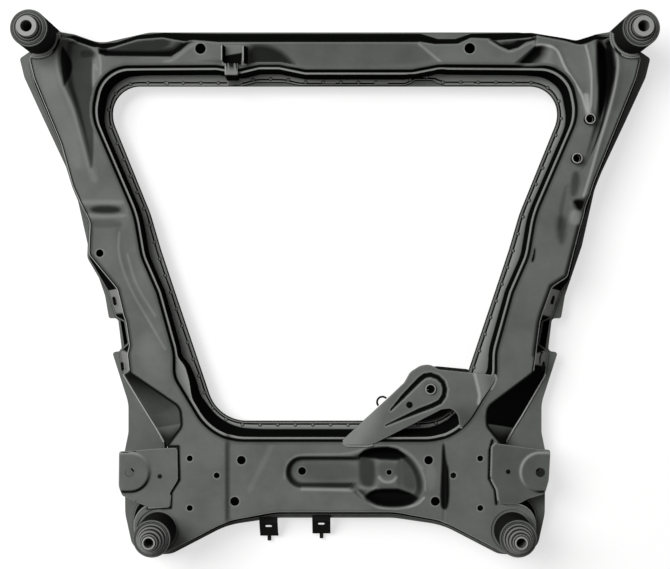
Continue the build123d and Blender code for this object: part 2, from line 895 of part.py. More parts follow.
# Torque rod bracket: the upper plate with its U-shaped bead
rod_top = ledge_height + rod_sheet
far = hypot(rod_bolt[0] - rod_bead_tips[0][0], rod_bolt[1] - rod_bead_tips[0][1])
far_x = rod_bolt[0] + rod_bead_radius * (rod_bolt[0] - rod_bead_tips[0][0]) / far
far_y = rod_bolt[1] + rod_bead_radius * (rod_bolt[1] - rod_bead_tips[0][1]) / far
touch_one = tangent_point(rod_bead_tips[0], rod_bolt, rod_bead_radius, 1)
touch_two = tangent_point(rod_bead_tips[1], rod_bolt, rod_bead_radius, -1)


def bead(width, bottom, height):
    """The U-shaped bead as a band of the given width."""
    with BuildPart() as band:
        with BuildSketch(Plane.XY.offset(bottom)):
            with BuildLine() as path:
                Line(rod_bead_tips[0], touch_one)
                ThreePointArc(touch_one, (far_x, far_y), touch_two)
                Line(touch_two, rod_bead_tips[1])
            trace(path.line, line_width=width)
        extrude(amount=height)
    return band.part


with BuildPart() as torque_rod_bracket_upper:
    add(corner_slab(ledge_height, rod_top, rod_corners))
    rib = bead(rod_bead_width + 2 * rod_bead_wall, ledge_height - rod_bead_depth, rod_bead_depth)
    add(rib)
    groove = bead(rod_bead_width, rod_top - rod_bead_depth, rod_bead_depth)
    bores = [
        groove,
        upper_block,
        column([rod_bolt], rod_bolt_radius, 0, plate_height),
        column([rod_peg_hole[:2]], rod_peg_hole[2], 0, plate_height),
    ]
    add(bores, mode=Mode.SUBTRACT)
finish("torque_rod_bracket_upper", torque_rod_bracket_upper.part)

rod_lower_top = parting_height - sheet
with BuildPart() as torque_rod_bracket_lower:
    add(corner_slab(rod_lower_top - rod_sheet, rod_lower_top, rod_lower_corners))
    add(column([rod_bolt], rod_bolt_radius, 0, plate_height), mode=Mode.SUBTRACT)
finish("torque_rod_bracket_lower", torque_rod_bracket_lower.part)

rod_nut_seat = Plane(origin=(*rod_bolt, rod_lower_top - rod_sheet - rod_nut_height))
rod_nut = hexagon_nut(rod_nut_seat, 2 * rod_nut_radius, rod_bolt_radius, rod_nut_height)
finish("torque_rod_nut", rod_nut)
rod_collar = tube(
    rod_bolt, rod_collar_radius, rod_bolt_radius, rod_top, rod_top + rod_collar_height, 1.0
)
finish("torque_rod_collar", rod_collar)

# Wire hook, welded by both ends to the edge of the torque rod bracket
edge_start, edge_end = rod_corners[0][:2], rod_corners[1][:2]
edge_length = hypot(edge_end[0] - edge_start[0], edge_end[1] - edge_start[1])
edge_x = (edge_end[0] - edge_start[0]) / edge_length
edge_y = (edge_end[1] - edge_start[1]) / edge_length
hook_x = edge_start[0] + edge_x * hook_distance
hook_y = edge_start[1] + edge_y * hook_distance
hook_plane = Plane(
    origin=(hook_x, hook_y, ledge_height + rod_sheet / 2), x_dir=(edge_x, edge_y, 0)
)
with BuildPart() as bracket_hook:
    with BuildLine(hook_plane) as loop:
        CenterArc((0, 0), hook_radius, 0, 180)
    with BuildSketch(Plane(origin=loop.line @ 0, z_dir=loop.line % 0)):
        Circle(hook_wire)
    sweep(path=loop.line)
finish("bracket_hook", bracket_hook.part)

# Hanger bracket on the front crossmember: a bent strap with two ears
bend_y = hanger_back_y - hanger_strap_reach
foot_y = bend_y - hanger_strap_lean
hanger_path = [
    (hanger_back_y, plate_height),
    (bend_y, plate_height),
    (foot_y, flange_top),
    (foot_y - hanger_strap_foot, flange_top),
]
with BuildPart() as hanger_bracket:
    strap_plane = Plane(origin=(hanger_x, 0, 0), x_dir=(0, 1, 0), z_dir=(1, 0, 0))
    with BuildSketch(strap_plane):
        with BuildLine():
            Polyline(*hanger_path)
            offset(amount=hanger_sheet, side=Side.RIGHT)
        make_face()
    extrude(amount=hanger_strap_width / 2, both=True)
    with BuildSketch(Plane.XY.offset(plate_height)):
        with Locations((hanger_x, (hanger_back_y + hanger_front_y) / 2)):
            Rectangle(hanger_width, hanger_front_y - hanger_back_y)
            Rectangle(hanger_window, hanger_window, mode=Mode.SUBTRACT)
    extrude(amount=hanger_sheet)
    ear_shift = (hanger_width - hanger_sheet) / 2
    for side in (-1, 1):
        ear_plane = Plane(
            origin=(hanger_x + side * ear_shift, 0, 0), x_dir=(0, 1, 0), z_dir=(1, 0, 0)
        )
        with BuildSketch(ear_plane):
            with BuildLine():
                Polyline(
                    (hanger_back_y, plate_height),
                    (hanger_front_y, plate_height),
                    (hanger_front_y - hanger_ear_slant, plate_height + hanger_ear_height),
                    (hanger_back_y + hanger_ear_slant, plate_height + hanger_ear_height),
                    close=True,
                )
            make_face()
        extrude(amount=hanger_sheet / 2, both=True)
finish("hanger_bracket", hanger_bracket.part)

# Clip plates on the rear edge, bent down from the flange, each with a stud
for number, (x, edge_y_at, name) in enumerate(clips):
    clip_path = [
        (edge_y_at + clip_tab, flange_top),
        (edge_y_at - clip_clear, flange_top),
        (edge_y_at - clip_clear - clip_run, flange_top - clip_drop),
        (edge_y_at - clip_clear - clip_run, flange_top - clip_drop - clip_lip),
    ]
    with BuildPart() as clip:
        clip_plane = Plane(origin=(x, 0, 0), x_dir=(0, 1, 0), z_dir=(1, 0, 0))
        with BuildSketch(clip_plane):
            with BuildLine():
                Polyline(*clip_path)
                offset(amount=clip_sheet, side=Side.RIGHT)
            make_face()
        extrude(amount=clip_width / 2, both=True)
        with BuildSketch(Plane.XY.offset(-1)):
            with Locations((x, edge_y_at - clip_clear - clip_slot_place)):
                SlotOverall(clip_slot_length, clip_slot_width)
        extrude(amount=plate_height, mode=Mode.SUBTRACT)
    finish(f"{name}_clip", clip.part)
    stud_y = edge_y_at - clip_clear - clip_run - clip_sheet
    stud_z = flange_top - clip_drop - clip_lip / 2
    with BuildPart() as stud:
        with BuildSketch(Plane(origin=(x, stud_y, stud_z), z_dir=(0, -1, 0))):
            Circle(clip_stud_radius)
        extrude(amount=clip_stud_length)
        chamfer(stud.faces().sort_by(Axis.Y)[0].edges(), 0.8)
    finish(f"{name}_clip_stud", stud.part)
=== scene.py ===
"""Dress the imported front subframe: pressed skins, bushes, weld beads, coating, floor and light."""

from math import pi

import bpy
import numpy as np
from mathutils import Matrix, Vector
from mathutils.geometry import delaunay_2d_cdt


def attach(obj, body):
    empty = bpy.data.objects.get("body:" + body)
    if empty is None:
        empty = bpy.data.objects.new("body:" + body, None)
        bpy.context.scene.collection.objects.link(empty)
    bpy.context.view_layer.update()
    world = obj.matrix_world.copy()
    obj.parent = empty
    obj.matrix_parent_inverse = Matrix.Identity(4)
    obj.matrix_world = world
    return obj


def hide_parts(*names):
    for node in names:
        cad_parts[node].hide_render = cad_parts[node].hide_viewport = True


bl_info = {
    "name": "Front subframe dresser",
    "version": (1, 0, 0),
    "blender": (4, 5, 0),
    "location": "View3D > Sidebar > Subframe",
    "description": "Builds the pressed skins, bushes, welds and finishes of a front subframe",
    "category": "Object",
}

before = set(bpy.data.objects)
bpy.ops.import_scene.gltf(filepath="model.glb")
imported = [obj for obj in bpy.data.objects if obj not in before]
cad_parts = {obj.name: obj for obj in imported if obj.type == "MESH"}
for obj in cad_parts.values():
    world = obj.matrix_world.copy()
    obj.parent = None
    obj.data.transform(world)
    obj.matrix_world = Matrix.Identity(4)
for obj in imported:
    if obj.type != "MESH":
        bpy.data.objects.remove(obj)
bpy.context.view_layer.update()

# The sheet and the heights of its levels over the floor, in millimetres
MM = 0.001
SHEET = 2.3
PLATE = 80.0
LEDGE = 73.0
REAR_LEDGE = 66.0
FLANGE = 36.3


def mirrored(right):
    """The left half of a symmetrical outline, in the order that carries on clockwise."""
    signs = (-1, 1, 1, -1, 1, 1)
    return [tuple(sign * part for sign, part in zip(signs, corner)) for corner in reversed(right)]


# Corners of the top plate's rim, clockwise: x, y, radius, then the foot of the wall under that
# corner: x, y, radius. Both sides share the corners of the front and of the rear mounts.
RIM_FRONT_CORNER = [
    (444, 378, 8, 446, 385, 10), (459, 345, 10, 466, 346, 12), (452, 316, 60, 459, 314, 60),
]
RIM_REAR_CORNER = [
    (252, -234, 12, 261, -233, 10), (252, -322, 8, 256, -318, 6), (302, -322, 32, 306, -318, 34),
    (302, -397, 34, 307, -400.5, 38), (255, -397, 20, 254, -401.5, 24),
    (165, -350, 120, 164, -356, 120), (90, -336, 120, 90, -343, 120),
]
RIM_RIGHT_FRONT = [
    (128, 372, 10, 131, 387.5, 10), (150, 368.5, 15, 157, 379.5, 15),
    (184, 369, 12, 185, 379.5, 15), (203, 378, 10, 209, 387.5, 10), (232, 377, 20, 231, 388, 20),
    (300, 382.5, 30, 301, 389, 30), (345, 374, 30, 347, 381.5, 30), (370, 367, 25, 370, 377, 20),
    (398, 379, 25, 400, 386, 20),
]
RIM_RIGHT_SIDE = [
    (388, 158, 200, 395, 156, 200), (368, 92, 80, 375, 90, 80), (349, 18, 12, 357, 14, 12),
    (326, 3, 14, 345, -2, 6), (312, -36, 20, 331, -41, 5), (308, -50, 14, 316, -48, 5),
    (303, -88, 10, 309, -86, 5), (302, -98, 6, 325, -97, 5), (298, -126, 10, 320, -132, 14),
    (229, -178, 20, 284, -194, 30), (229, -205, 14, 272, -213, 20),
]
RIM_RIGHT = RIM_RIGHT_FRONT + RIM_FRONT_CORNER + RIM_RIGHT_SIDE + RIM_REAR_CORNER
RIM_LEFT_SIDE = [
    (-231, -206, 14, -272, -213, 20), (-233, -178, 20, -284, -194, 30),
    (-309, -126, 10, -322, -132, 14), (-312, -98, 6, -328, -97, 5), (-309, -84, 10, -314, -84, 5),
    (-314, -50, 14, -320, -48, 5), (-318, -38, 20, -334, -41, 5), (-327, 0, 20, -346, -2, 6),
    (-370, 52, 14, -376, 49, 14), (-368, 98, 30, -374, 98, 30), (-394, 155, 80, -399, 157, 80),
    (-411, 217, 60, -417, 216, 60),
]
RIM_LEFT_FRONT = [
    (-398, 378, 25, -400, 385, 20), (-360, 363, 25, -360, 372, 20),
    (-335, 369, 30, -334, 374.5, 30), (-300, 380, 30, -300, 385.5, 30),
    (-262, 383, 20, -262, 389, 20), (-222, 376, 20, -222, 388, 20),
    (-175, 372, 20, -177, 387.5, 20),
]
RIM_LEFT = mirrored(RIM_REAR_CORNER) + RIM_LEFT_SIDE
RIM_LEFT += mirrored(RIM_FRONT_CORNER) + RIM_LEFT_FRONT

# Corners of the bay's edge, clockwise: x, y, radius
BAY_SIDE = [
    (341, 310.5, 42), (341, 258, 50), (283, 115, 150), (267, 60, 80), (251, 12, 80),
    (179, -202, 60),
]
BAY_RIGHT_FRONT = [(113, 311, 3), (123, 319, 3), (149, 319, 3), (160, 311, 3)]
BAY_LEFT_FRONT = [(-142, 310, 10), (-121, 316, 14), (-77, 316, 14), (-54, 311, 10)]

# Corners of the groove between the ledge and the top plate, clockwise: x, y, radius
STEP_SIDE = [
    (350, 333, 50), (365, 262, 70), (300.5, 112, 150), (290, 50, 80), (266, -5, 60),
    (241, -95, 80), (241, -131, 40), (183, -227.5, 84),
]
STEP_RIGHT_FRONT = [(115, 327, 25), (155, 334.5, 25)]
STEP_LEFT_FRONT = [
    (-178, 334, 30), (-144, 328, 20), (-114, 335, 20), (-84, 335, 20), (-45, 327, 25),
]

# How wide the ledge is, how far the wall leans, and how much more of each in the bay's corners,
# which are given as x, y, reach. On the left the ledge widens beside the arm's notch, along a
# run whose rise and fall are given as distances behind the centre.
LEDGE_WIDTH = 3.6
LEDGE_WIDENING = 0.8
NOTCH_WIDENING = 13.0
NOTCH_RUN = (98.0, 128.0, 132.0, 172.0)
WALL_RUN = 1.5
WALL_WIDENING = 3.0
REAR_WALL_WIDENING = 7.0
LEDGE_CORNERS = [(352.0, 305.0, 75.0), (205.0, -195.0, 110.0)]


class Outline:
    """A closed outline with rounded corners, whose rows share their columns.

    Each corner is an arc between points on its two walls, worked out as a conic whose middle
    weight is the sine of half the corner's angle. Each wall is a straight run, and one that
    moves outwards by a distance moves along its own normal.
    """

    def __init__(self, corners, pitch=3.0):
        self.points = np.array([corner[:2] for corner in corners], float)
        self.radii = np.array([corner[2] for corner in corners], float)
        start, end = self.legs(self.points, self.radii)
        arc = np.linalg.norm(end - start, axis=1)
        run = np.linalg.norm(np.roll(start, -1, 0) - end, axis=1)
        self.arc_steps = np.maximum(6, np.ceil(arc / pitch)).astype(int)
        self.run_steps = np.maximum(1, np.ceil(run / pitch)).astype(int)

    @staticmethod
    def legs(points, radii):
        """Where each corner's curve starts and where it ends."""
        ahead = np.roll(points, -1, 0) - points
        length = np.linalg.norm(ahead, axis=1)
        ahead /= length[:, None]
        behind = -np.roll(ahead, 1, 0)
        cosine = np.clip((ahead * behind).sum(1), -0.9999, 0.9999)
        tangent = radii * np.sqrt((1 + cosine) / (1 - cosine))
        share = np.minimum(1, 0.98 * length / (tangent + np.roll(tangent, -1)))
        tangent *= np.minimum(share, np.roll(share, 1))
        return points + behind * tangent[:, None], points + ahead * tangent[:, None]

    def moved(self, points, radii, distance):
        """Corners and radii after every wall has moved outwards by one distance."""
        along = np.roll(points, -1, 0) - points
        along /= np.linalg.norm(along, axis=1)[:, None]
        normal = np.stack([-along[:, 1], along[:, 0]], 1)
        before, before_normal = np.roll(along, 1, 0), np.roll(normal, 1, 0)
        turn = before[:, 0] * along[:, 1] - before[:, 1] * along[:, 0]
        both = normal + before_normal
        points = points + both * (2 * distance / (both**2).sum(1))[:, None]
        return points, np.maximum(radii + np.where(turn < 0, distance, -distance), 1.0)

    def row(self, distance=0.0, points=None, radii=None):
        """Points of the outline, or of other corners in its columns, moved out by a distance."""
        points = self.points if points is None else points
        radii = self.radii if radii is None else radii
        if distance:
            points, radii = self.moved(points, radii, distance)
        start, end = self.legs(points, radii)
        walls = np.roll(points, -1, 0) - points
        walls /= np.linalg.norm(walls, axis=1)[:, None]
        weight = np.sqrt((1 + (walls * np.roll(walls, 1, 0)).sum(1)) / 2)
        pieces = []
        for i in range(len(points)):
            t = np.arange(self.arc_steps[i])[:, None] / self.arc_steps[i]
            first, middle, last = (1 - t) ** 2, 2 * t * (1 - t) * weight[i], t**2
            arc = first * start[i] + middle * points[i] + last * end[i]
            pieces.append(arc / (first + middle + last))
            t = np.arange(self.run_steps[i])[:, None] / self.run_steps[i]
            pieces.append(end[i] * (1 - t) + start[(i + 1) % len(points)] * t)
        return np.concatenate(pieces)


def inside_points(points, line):
    """Which points lie inside a closed line, by counting its crossings."""
    result = np.zeros(len(points), bool)
    for a, b in zip(line, np.roll(line, -1, 0)):
        cut = (a[1] > points[:, 1]) != (b[1] > points[:, 1])
        slope = (b[0] - a[0]) / (b[1] - a[1]) if b[1] != a[1] else 0.0
        result ^= cut & (points[:, 0] < a[0] + slope * (points[:, 1] - a[1]))
    return result


def nearest(points, line, closed=True, chunk=4000):
    """Distance to a line, the nearest point on it and the share of its length reached there."""
    tail = line if closed else line[:-1]
    head = np.roll(line, -1, 0) if closed else line[1:]
    step = head - tail
    square = np.maximum((step**2).sum(1), 1e-12)
    length = np.sqrt(square)
    before = np.concatenate([[0.0], np.cumsum(length)])
    best = np.zeros(len(points))
    foot = np.zeros((len(points), 2))
    reached = np.zeros(len(points))
    for first in range(0, len(points), chunk):
        some = slice(first, first + chunk)
        part = points[some]
        t = np.clip(((part[:, None] - tail) * step).sum(2) / square, 0, 1)
        near = tail + t[:, :, None] * step
        gap = ((part[:, None] - near) ** 2).sum(2)
        k = gap.argmin(1)
        row = np.arange(len(part))
        best[some] = np.sqrt(gap[row, k])
        foot[some] = near[row, k]
        reached[some] = (before[k] + t[row, k] * length[k]) / before[-1]
    return best, foot, reached


def inside(xs, ys, line):
    """Which crossings of the grid lines lie inside a closed line, by counting its crossings."""
    tail, head = line, np.roll(line, -1, 0)
    result = np.zeros((len(xs), len(ys)), bool)
    for j, y in enumerate(ys):
        cut = (tail[:, 1] > y) != (head[:, 1] > y)
        a, b = tail[cut], head[cut]
        x = a[:, 0] + (y - a[:, 1]) / (b[:, 1] - a[:, 1]) * (b[:, 0] - a[:, 0])
        result[:, j] = np.searchsorted(np.sort(x), xs) % 2 == 1
    return result


def rim_points(centre, radius, count=32):
    """Points round a circle."""
    angle = np.arange(count) * 2 * pi / count
    return np.array(centre) + radius * np.stack([np.cos(angle), np.sin(angle)], 1)


def patch(outer, holes, height, pitch, clear=0.55, merge=1e-5):
    """A grid over a flat region, sewn to its outlines; height(x, y) gives z and any marks.

    Cells whose four corners lie inside, clear of the outlines by a share of the pitch, are kept
    whole. The strip between them and the outlines is filled with triangles that use the
    outlines' own points.
    """
    low, high = outer.min(0), outer.max(0)
    xs, ys = (
        np.arange(np.floor(low[k] / pitch) - 1, np.ceil(high[k] / pitch) + 2) * pitch
        for k in range(2)
    )
    full = inside(xs, ys, outer)
    for hole in holes:
        full &= ~inside(xs, ys, hole)
    plan = np.stack(np.meshgrid(xs, ys, indexing="ij"), 2)
    deep = full.copy()
    for shift_x in (-1, 0, 1):
        for shift_y in (-1, 0, 1):
            deep &= np.roll(full, (shift_x, shift_y), (0, 1))
    rim = full & ~deep
    lines = [outer] + list(holes)
    full[rim] = np.min([nearest(plan[rim], line)[0] for line in lines], 0) > clear * pitch
    cell = full[:-1, :-1] & full[1:, :-1] & full[1:, 1:] & full[:-1, 1:]
    index = -np.ones(full.shape, int)
    index[full] = np.arange(full.sum())
    quads = np.stack([index[:-1, :-1], index[1:, :-1], index[1:, 1:], index[:-1, 1:]], 2)[cell]
    grid = plan[full]
    edges = np.concatenate([quads[:, [k, (k + 1) % 4]] for k in range(4)])
    edges, times = np.unique(np.sort(edges, 1), axis=0, return_counts=True)
    edges = edges[times == 1]
    border = np.union1d(edges, np.setdiff1d(index[full], np.unique(quads)))
    renamed = -np.ones(len(grid), int)
    renamed[border] = np.arange(len(border))
    edges = renamed[edges]
    strip = [grid[border]]
    offset = len(border)
    for line in lines:
        strip.append(line)
        around = np.arange(len(line))
        edges = np.concatenate([edges, np.stack([around, np.roll(around, -1)], 1) + offset])
        offset += len(line)
    strip = [Vector(point) for point in np.concatenate(strip)]
    found = delaunay_2d_cdt(strip, edges.tolist(), [], 0, merge)
    points = np.array(found[0])
    triangles = np.array(found[2])
    middle = points[triangles].mean(1)
    keep = inside_points(middle, outer)
    for hole in holes:
        keep &= ~inside_points(middle, hole)
    spot = np.floor((middle - (xs[0], ys[0])) / pitch).astype(int)
    spot = np.clip(spot, 0, np.array(cell.shape) - 1)
    keep &= ~cell[spot[:, 0], spot[:, 1]]
    halves = [quads[:, [0, 1, 2]], quads[:, [0, 2, 3]]]
    faces = np.concatenate([*halves, triangles[keep] + len(grid)])
    plan_points = np.concatenate([grid, points])
    return np.column_stack([plan_points, *height(*plan_points.T)]), upward(plan_points, faces)


def upward(plan_points, triangles):
    """Triangles turned so that each one faces up."""
    a, b, c = (plan_points[triangles[:, k]] for k in range(3))
    turn = (b[:, 0] - a[:, 0]) * (c[:, 1] - a[:, 1]) - (b[:, 1] - a[:, 1]) * (c[:, 0] - a[:, 0])
    return np.where((turn < 0)[:, None], triangles[:, ::-1], triangles)


def band(rows):
    """A closed band: its rows run round the part, one set of four-sided faces between each two."""
    rows = np.asarray(rows)
    count, columns = rows.shape[:2]
    index = np.arange(count * columns).reshape(count, columns)
    ahead = np.roll(index, -1, 1)
    first = np.stack([index[:-1], ahead[:-1], ahead[1:]], 2).reshape(-1, 3)
    second = np.stack([index[:-1], ahead[1:], index[1:]], 2).reshape(-1, 3)
    return rows.reshape(-1, rows.shape[2]), np.concatenate([first, second])


def folded(rows, radii, steps=5):
    """Round each inner row with a parabola that reaches its radius along both neighbours."""
    result = [rows[0]]
    for k in range(1, len(rows) - 1):
        reach = radii[k - 1]
        if not reach:
            result.append(rows[k])
            continue
        back, ahead = rows[k - 1] - rows[k], rows[k + 1] - rows[k]
        back_length = np.linalg.norm(back[:, :3], axis=1)[:, None]
        ahead_length = np.linalg.norm(ahead[:, :3], axis=1)[:, None]
        first = rows[k] + back * np.minimum(reach / np.maximum(back_length, 1e-6), 0.48)
        last = rows[k] + ahead * np.minimum(reach / np.maximum(ahead_length, 1e-6), 0.48)
        for t in np.linspace(0, 1, steps):
            result.append((1 - t) ** 2 * first + 2 * t * (1 - t) * rows[k] + t**2 * last)
    result.append(rows[-1])
    return np.array(result)


def raised(line, z, clean_and_shaded=0.0, worn_and_highlit=0.0):
    """A row in space from a plan line, its height and its two marks, numbers or one per point."""
    columns = [np.broadcast_to(value, (len(line),)) for value in (z, clean_and_shaded, worn_and_highlit)]
    return np.column_stack([line] + columns)


def soft(value, low, high):
    """Zero below the low end, one above the high end, and a smooth rise between."""
    t = np.clip((value - low) / (high - low), 0, 1)
    return t * t * (3 - 2 * t)


# The front member reaches to a distance from the centre line and back to a y. The rear one
# reaches forwards to a y, and further within a distance from the centre line.
FRONT_SEAM = (352.0, 285.0)
REAR_SEAM = -229.0
REAR_MIDDLE_SEAM = (150.0, -195.0)


def member_of(x, y):
    """The place in MEMBERS of the member that a point belongs to."""
    front = (np.abs(x) < FRONT_SEAM[0]) & (y > FRONT_SEAM[1])
    rear = (y < REAR_SEAM) | ((np.abs(x) < REAR_MIDDLE_SEAM[0]) & (y < REAR_MIDDLE_SEAM[1]))
    return np.where(front, 0, np.where(rear, 1, np.where(x > 0, 2, 3)))


MEMBERS = ["front_crossmember", "rear_crossmember", "right_side_member", "left_side_member"]


# Names of the finishes
COAT = "black dip coat"
# A darker copy of the coat, painted shade for what lies under or between other parts
SHADED_SHELTERED_COAT = "shaded sheltered coat"
WELD = "coated weld bead"
BARE_STEEL = "bare machined steel"
SLEEVE_STEEL = "phosphated steel"
RUBBER = "moulded rubber"


def build(name, points, faces, stands_for=(), thickness=0.0, finish=COAT, slot="black_coat"):
    """Make one finished piece from millimetre arrays, with a sheet thickness where asked.

    Columns of points after the third are the two marks that the finish reads: painted shade, which
    shows the deep coat without dust, and painted highlight, which also stands for rubbed coat.
    """
    used = np.unique(faces)
    place = -np.ones(len(points), int)
    place[used] = np.arange(len(used))
    mesh = bpy.data.meshes.new(name)
    corner_count = faces.shape[1]
    mesh.vertices.add(len(used))
    mesh.vertices.foreach_set("co", (points[used, :3] * MM).astype(np.float32).ravel())
    mesh.loops.add(faces.size)
    mesh.loops.foreach_set("vertex_index", place[faces].astype(np.int32).ravel())
    mesh.polygons.add(len(faces))
    starts = np.arange(0, faces.size, corner_count, dtype=np.int32)
    mesh.polygons.foreach_set("loop_start", starts)
    mesh.update(calc_edges=True)
    mesh.validate()
    mesh.shade_smooth()
    edge_of_corner = np.zeros(len(mesh.loops), np.int32)
    mesh.loops.foreach_get("edge_index", edge_of_corner)
    open_edge = np.bincount(edge_of_corner, minlength=len(mesh.edges)) == 1
    mesh.edges.foreach_set("use_edge_sharp", open_edge)
    for label, values in zip(("clean_and_shaded", "worn_and_highlit"), points[used, 3:].T):
        mark = mesh.attributes.new(label, "FLOAT", "POINT")
        mark.data.foreach_set("value", values.astype(np.float32))
    mesh.materials.append(bpy.data.materials[finish])
    piece = bpy.data.objects.new(name, mesh)
    bpy.context.scene.collection.objects.link(piece)
    if thickness:
        shell = piece.modifiers.new("sheet", "SOLIDIFY")
        shell.thickness = thickness * MM
        shell.offset = -1.0
    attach(piece, "root")
    if stands_for:
        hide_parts(*stands_for)
    return piece


def welded(points, faces):
    """Merge points that coincide and drop the triangles that this empties."""
    _, first, place = np.unique(
        np.round(points[:, :3], 3), axis=0, return_index=True, return_inverse=True
    )
    faces = place.reshape(-1)[faces]
    a, b, c = faces.T
    return points[first], faces[(a != b) & (b != c) & (c != a)]


def joined(parts):
    """One pair of point and face arrays from several."""
    points, faces, offset = [], [], 0
    for part in parts:
        points.append(part[0])
        faces.append(part[1] + offset)
        offset += len(part[0])
    return np.concatenate(points), np.concatenate(faces)


# Finishes


def socket(group, name, side="INPUT", value=None):
    """Add one named number to the inputs or outputs of a node group."""
    item = group.interface.new_socket(name=name, in_out=side, socket_type="NodeSocketFloat")
    if value is not None:
        item.default_value = value


def added(tree, kind, inputs=None, **settings):
    """Add a node with its settings; each input is fed by a socket or set to a plain value."""
    node = tree.nodes.new("ShaderNode" + kind)
    for name, value in settings.items():
        setattr(node, name, value)
    for place, value in (inputs or {}).items():
        if isinstance(value, bpy.types.NodeSocket):
            tree.links.new(value, node.inputs[place])
        else:
            node.inputs[place].default_value = value
    return node


def math_node(tree, operation, first, second, clamp=False):
    """The output of a Math node fed by sockets or plain numbers."""
    node = added(tree, "Math", {0: first, 1: second}, operation=operation, use_clamp=clamp)
    return node.outputs[0]


def noise_node(tree, scale, detail, roughness):
    """The factor of a noise texture on object coordinates."""
    place = added(tree, "TexCoord").outputs["Object"]
    inputs = {"Vector": place, "Scale": scale, "Detail": detail, "Roughness": roughness}
    return added(tree, "TexNoise", inputs).outputs["Fac"]


def dust_and_sheen_group():
    """How much dust and painted sheen a place gets: more where it faces up, so that slopes are
    painted darker, and patchy by noise.
    """
    group = bpy.data.node_groups.new("dust and top sheen", "ShaderNodeTree")
    socket(group, "Amount", value=1.0)
    socket(group, "Patch Scale", value=18.0)
    socket(group, "Mask", "OUTPUT")
    given, out = group.nodes.new("NodeGroupInput"), group.nodes.new("NodeGroupOutput")
    normal = added(group, "TexCoord").outputs["Normal"]
    slope = added(group, "SeparateXYZ", {0: normal}).outputs["Z"]
    up = {"Value": slope, "From Min": 0.35, "From Max": 0.9, "To Min": 0.08}
    up = added(group, "MapRange", up, interpolation_type="SMOOTHSTEP").outputs["Result"]
    patches = noise_node(group, given.outputs["Patch Scale"], 9.0, 0.62)
    spread = {"Value": patches, "From Min": 0.3, "From Max": 0.75, "To Min": 0.66, "To Max": 1.0}
    spread = added(group, "MapRange", spread).outputs["Result"]
    patchy = math_node(group, "MULTIPLY", up, spread)
    total = math_node(group, "MULTIPLY", patchy, given.outputs["Amount"], clamp=True)
    group.links.new(total, out.inputs["Mask"])


def grain_group():
    """Fine unevenness of a surface: a height for bump and a change of roughness, from noise."""
    group = bpy.data.node_groups.new("fine grain", "ShaderNodeTree")
    socket(group, "Scale", value=700.0)
    socket(group, "Spread", value=0.1)
    socket(group, "Middle", value=0.4)
    socket(group, "Height", "OUTPUT")
    socket(group, "Roughness", "OUTPUT")
    given, out = group.nodes.new("NodeGroupInput"), group.nodes.new("NodeGroupOutput")
    group.links.new(noise_node(group, given.outputs["Scale"], 2.0, 0.5), out.inputs["Height"])
    shift = math_node(group, "SUBTRACT", noise_node(group, 45.0, 6.0, 0.55), 0.5)
    change = math_node(group, "MULTIPLY", shift, given.outputs["Spread"])
    total = math_node(group, "ADD", change, given.outputs["Middle"], clamp=True)
    group.links.new(total, out.inputs["Roughness"])


def placed(tree, group, inputs):
    """Put a shared node group into a material's tree with its own values."""
    node = added(tree, "Group", node_tree=bpy.data.node_groups[group])
    for name, value in inputs.items():
        node.inputs[name].default_value = value
    return node


# Scale of the dust patches, colour of painted highlight and rubbed coat, height of the fine grain
DUST_PATCHES = 14.0
HIGHLIGHT_AND_WEAR_COLOUR = (0.36, 0.365, 0.355)
GRAIN_HEIGHT = 0.0002


def finish_material(name, deep, dust_and_sheen_colour, middle, spread, grain, bump, gloss):
    """A finish: a deep colour, a lighter colour of dust and painted sheen on what faces up, painted
    shade and painted highlight from two marks, uneven roughness and a fine grain.
    """
    material = bpy.data.materials.new(name)
    material.use_nodes = True
    tree = material.node_tree
    shader = tree.nodes["Principled BSDF"]
    shader.inputs["Specular IOR Level"].default_value = gloss
    dust_and_sheen = placed(tree, "dust and top sheen", {"Amount": 1.0, "Patch Scale": DUST_PATCHES})
    fine = placed(tree, "fine grain", {"Scale": grain, "Middle": middle, "Spread": spread})
    clean_and_shaded, worn_and_highlit = (
        added(tree, "Attribute", attribute_name=mark).outputs["Fac"] for mark in ("clean_and_shaded", "worn_and_highlit")
    )
    # Where the painted shade mark is set the deep coat shows; the painted highlight mark mixes in
    # the light colour
    left = math_node(tree, "SUBTRACT", 1.0, clean_and_shaded, clamp=True)
    dust_and_sheen_share = math_node(tree, "MULTIPLY", dust_and_sheen.outputs["Mask"], left, clamp=True)
    colour = {"Factor": dust_and_sheen_share, "A": (*deep, 1.0), "B": (*dust_and_sheen_colour, 1.0)}
    colour = added(tree, "Mix", colour, data_type="RGBA").outputs["Result"]
    wear_and_highlight = {"Factor": worn_and_highlit, "A": colour, "B": (*HIGHLIGHT_AND_WEAR_COLOUR, 1.0)}
    wear_and_highlight = added(tree, "Mix", wear_and_highlight, data_type="RGBA").outputs["Result"]
    relief = {"Strength": bump, "Distance": GRAIN_HEIGHT, "Height": fine.outputs["Height"]}
    relief = added(tree, "Bump", relief).outputs["Normal"]
    tree.links.new(wear_and_highlight, shader.inputs["Base Color"])
    tree.links.new(fine.outputs["Roughness"], shader.inputs["Roughness"])
    tree.links.new(relief, shader.inputs["Normal"])


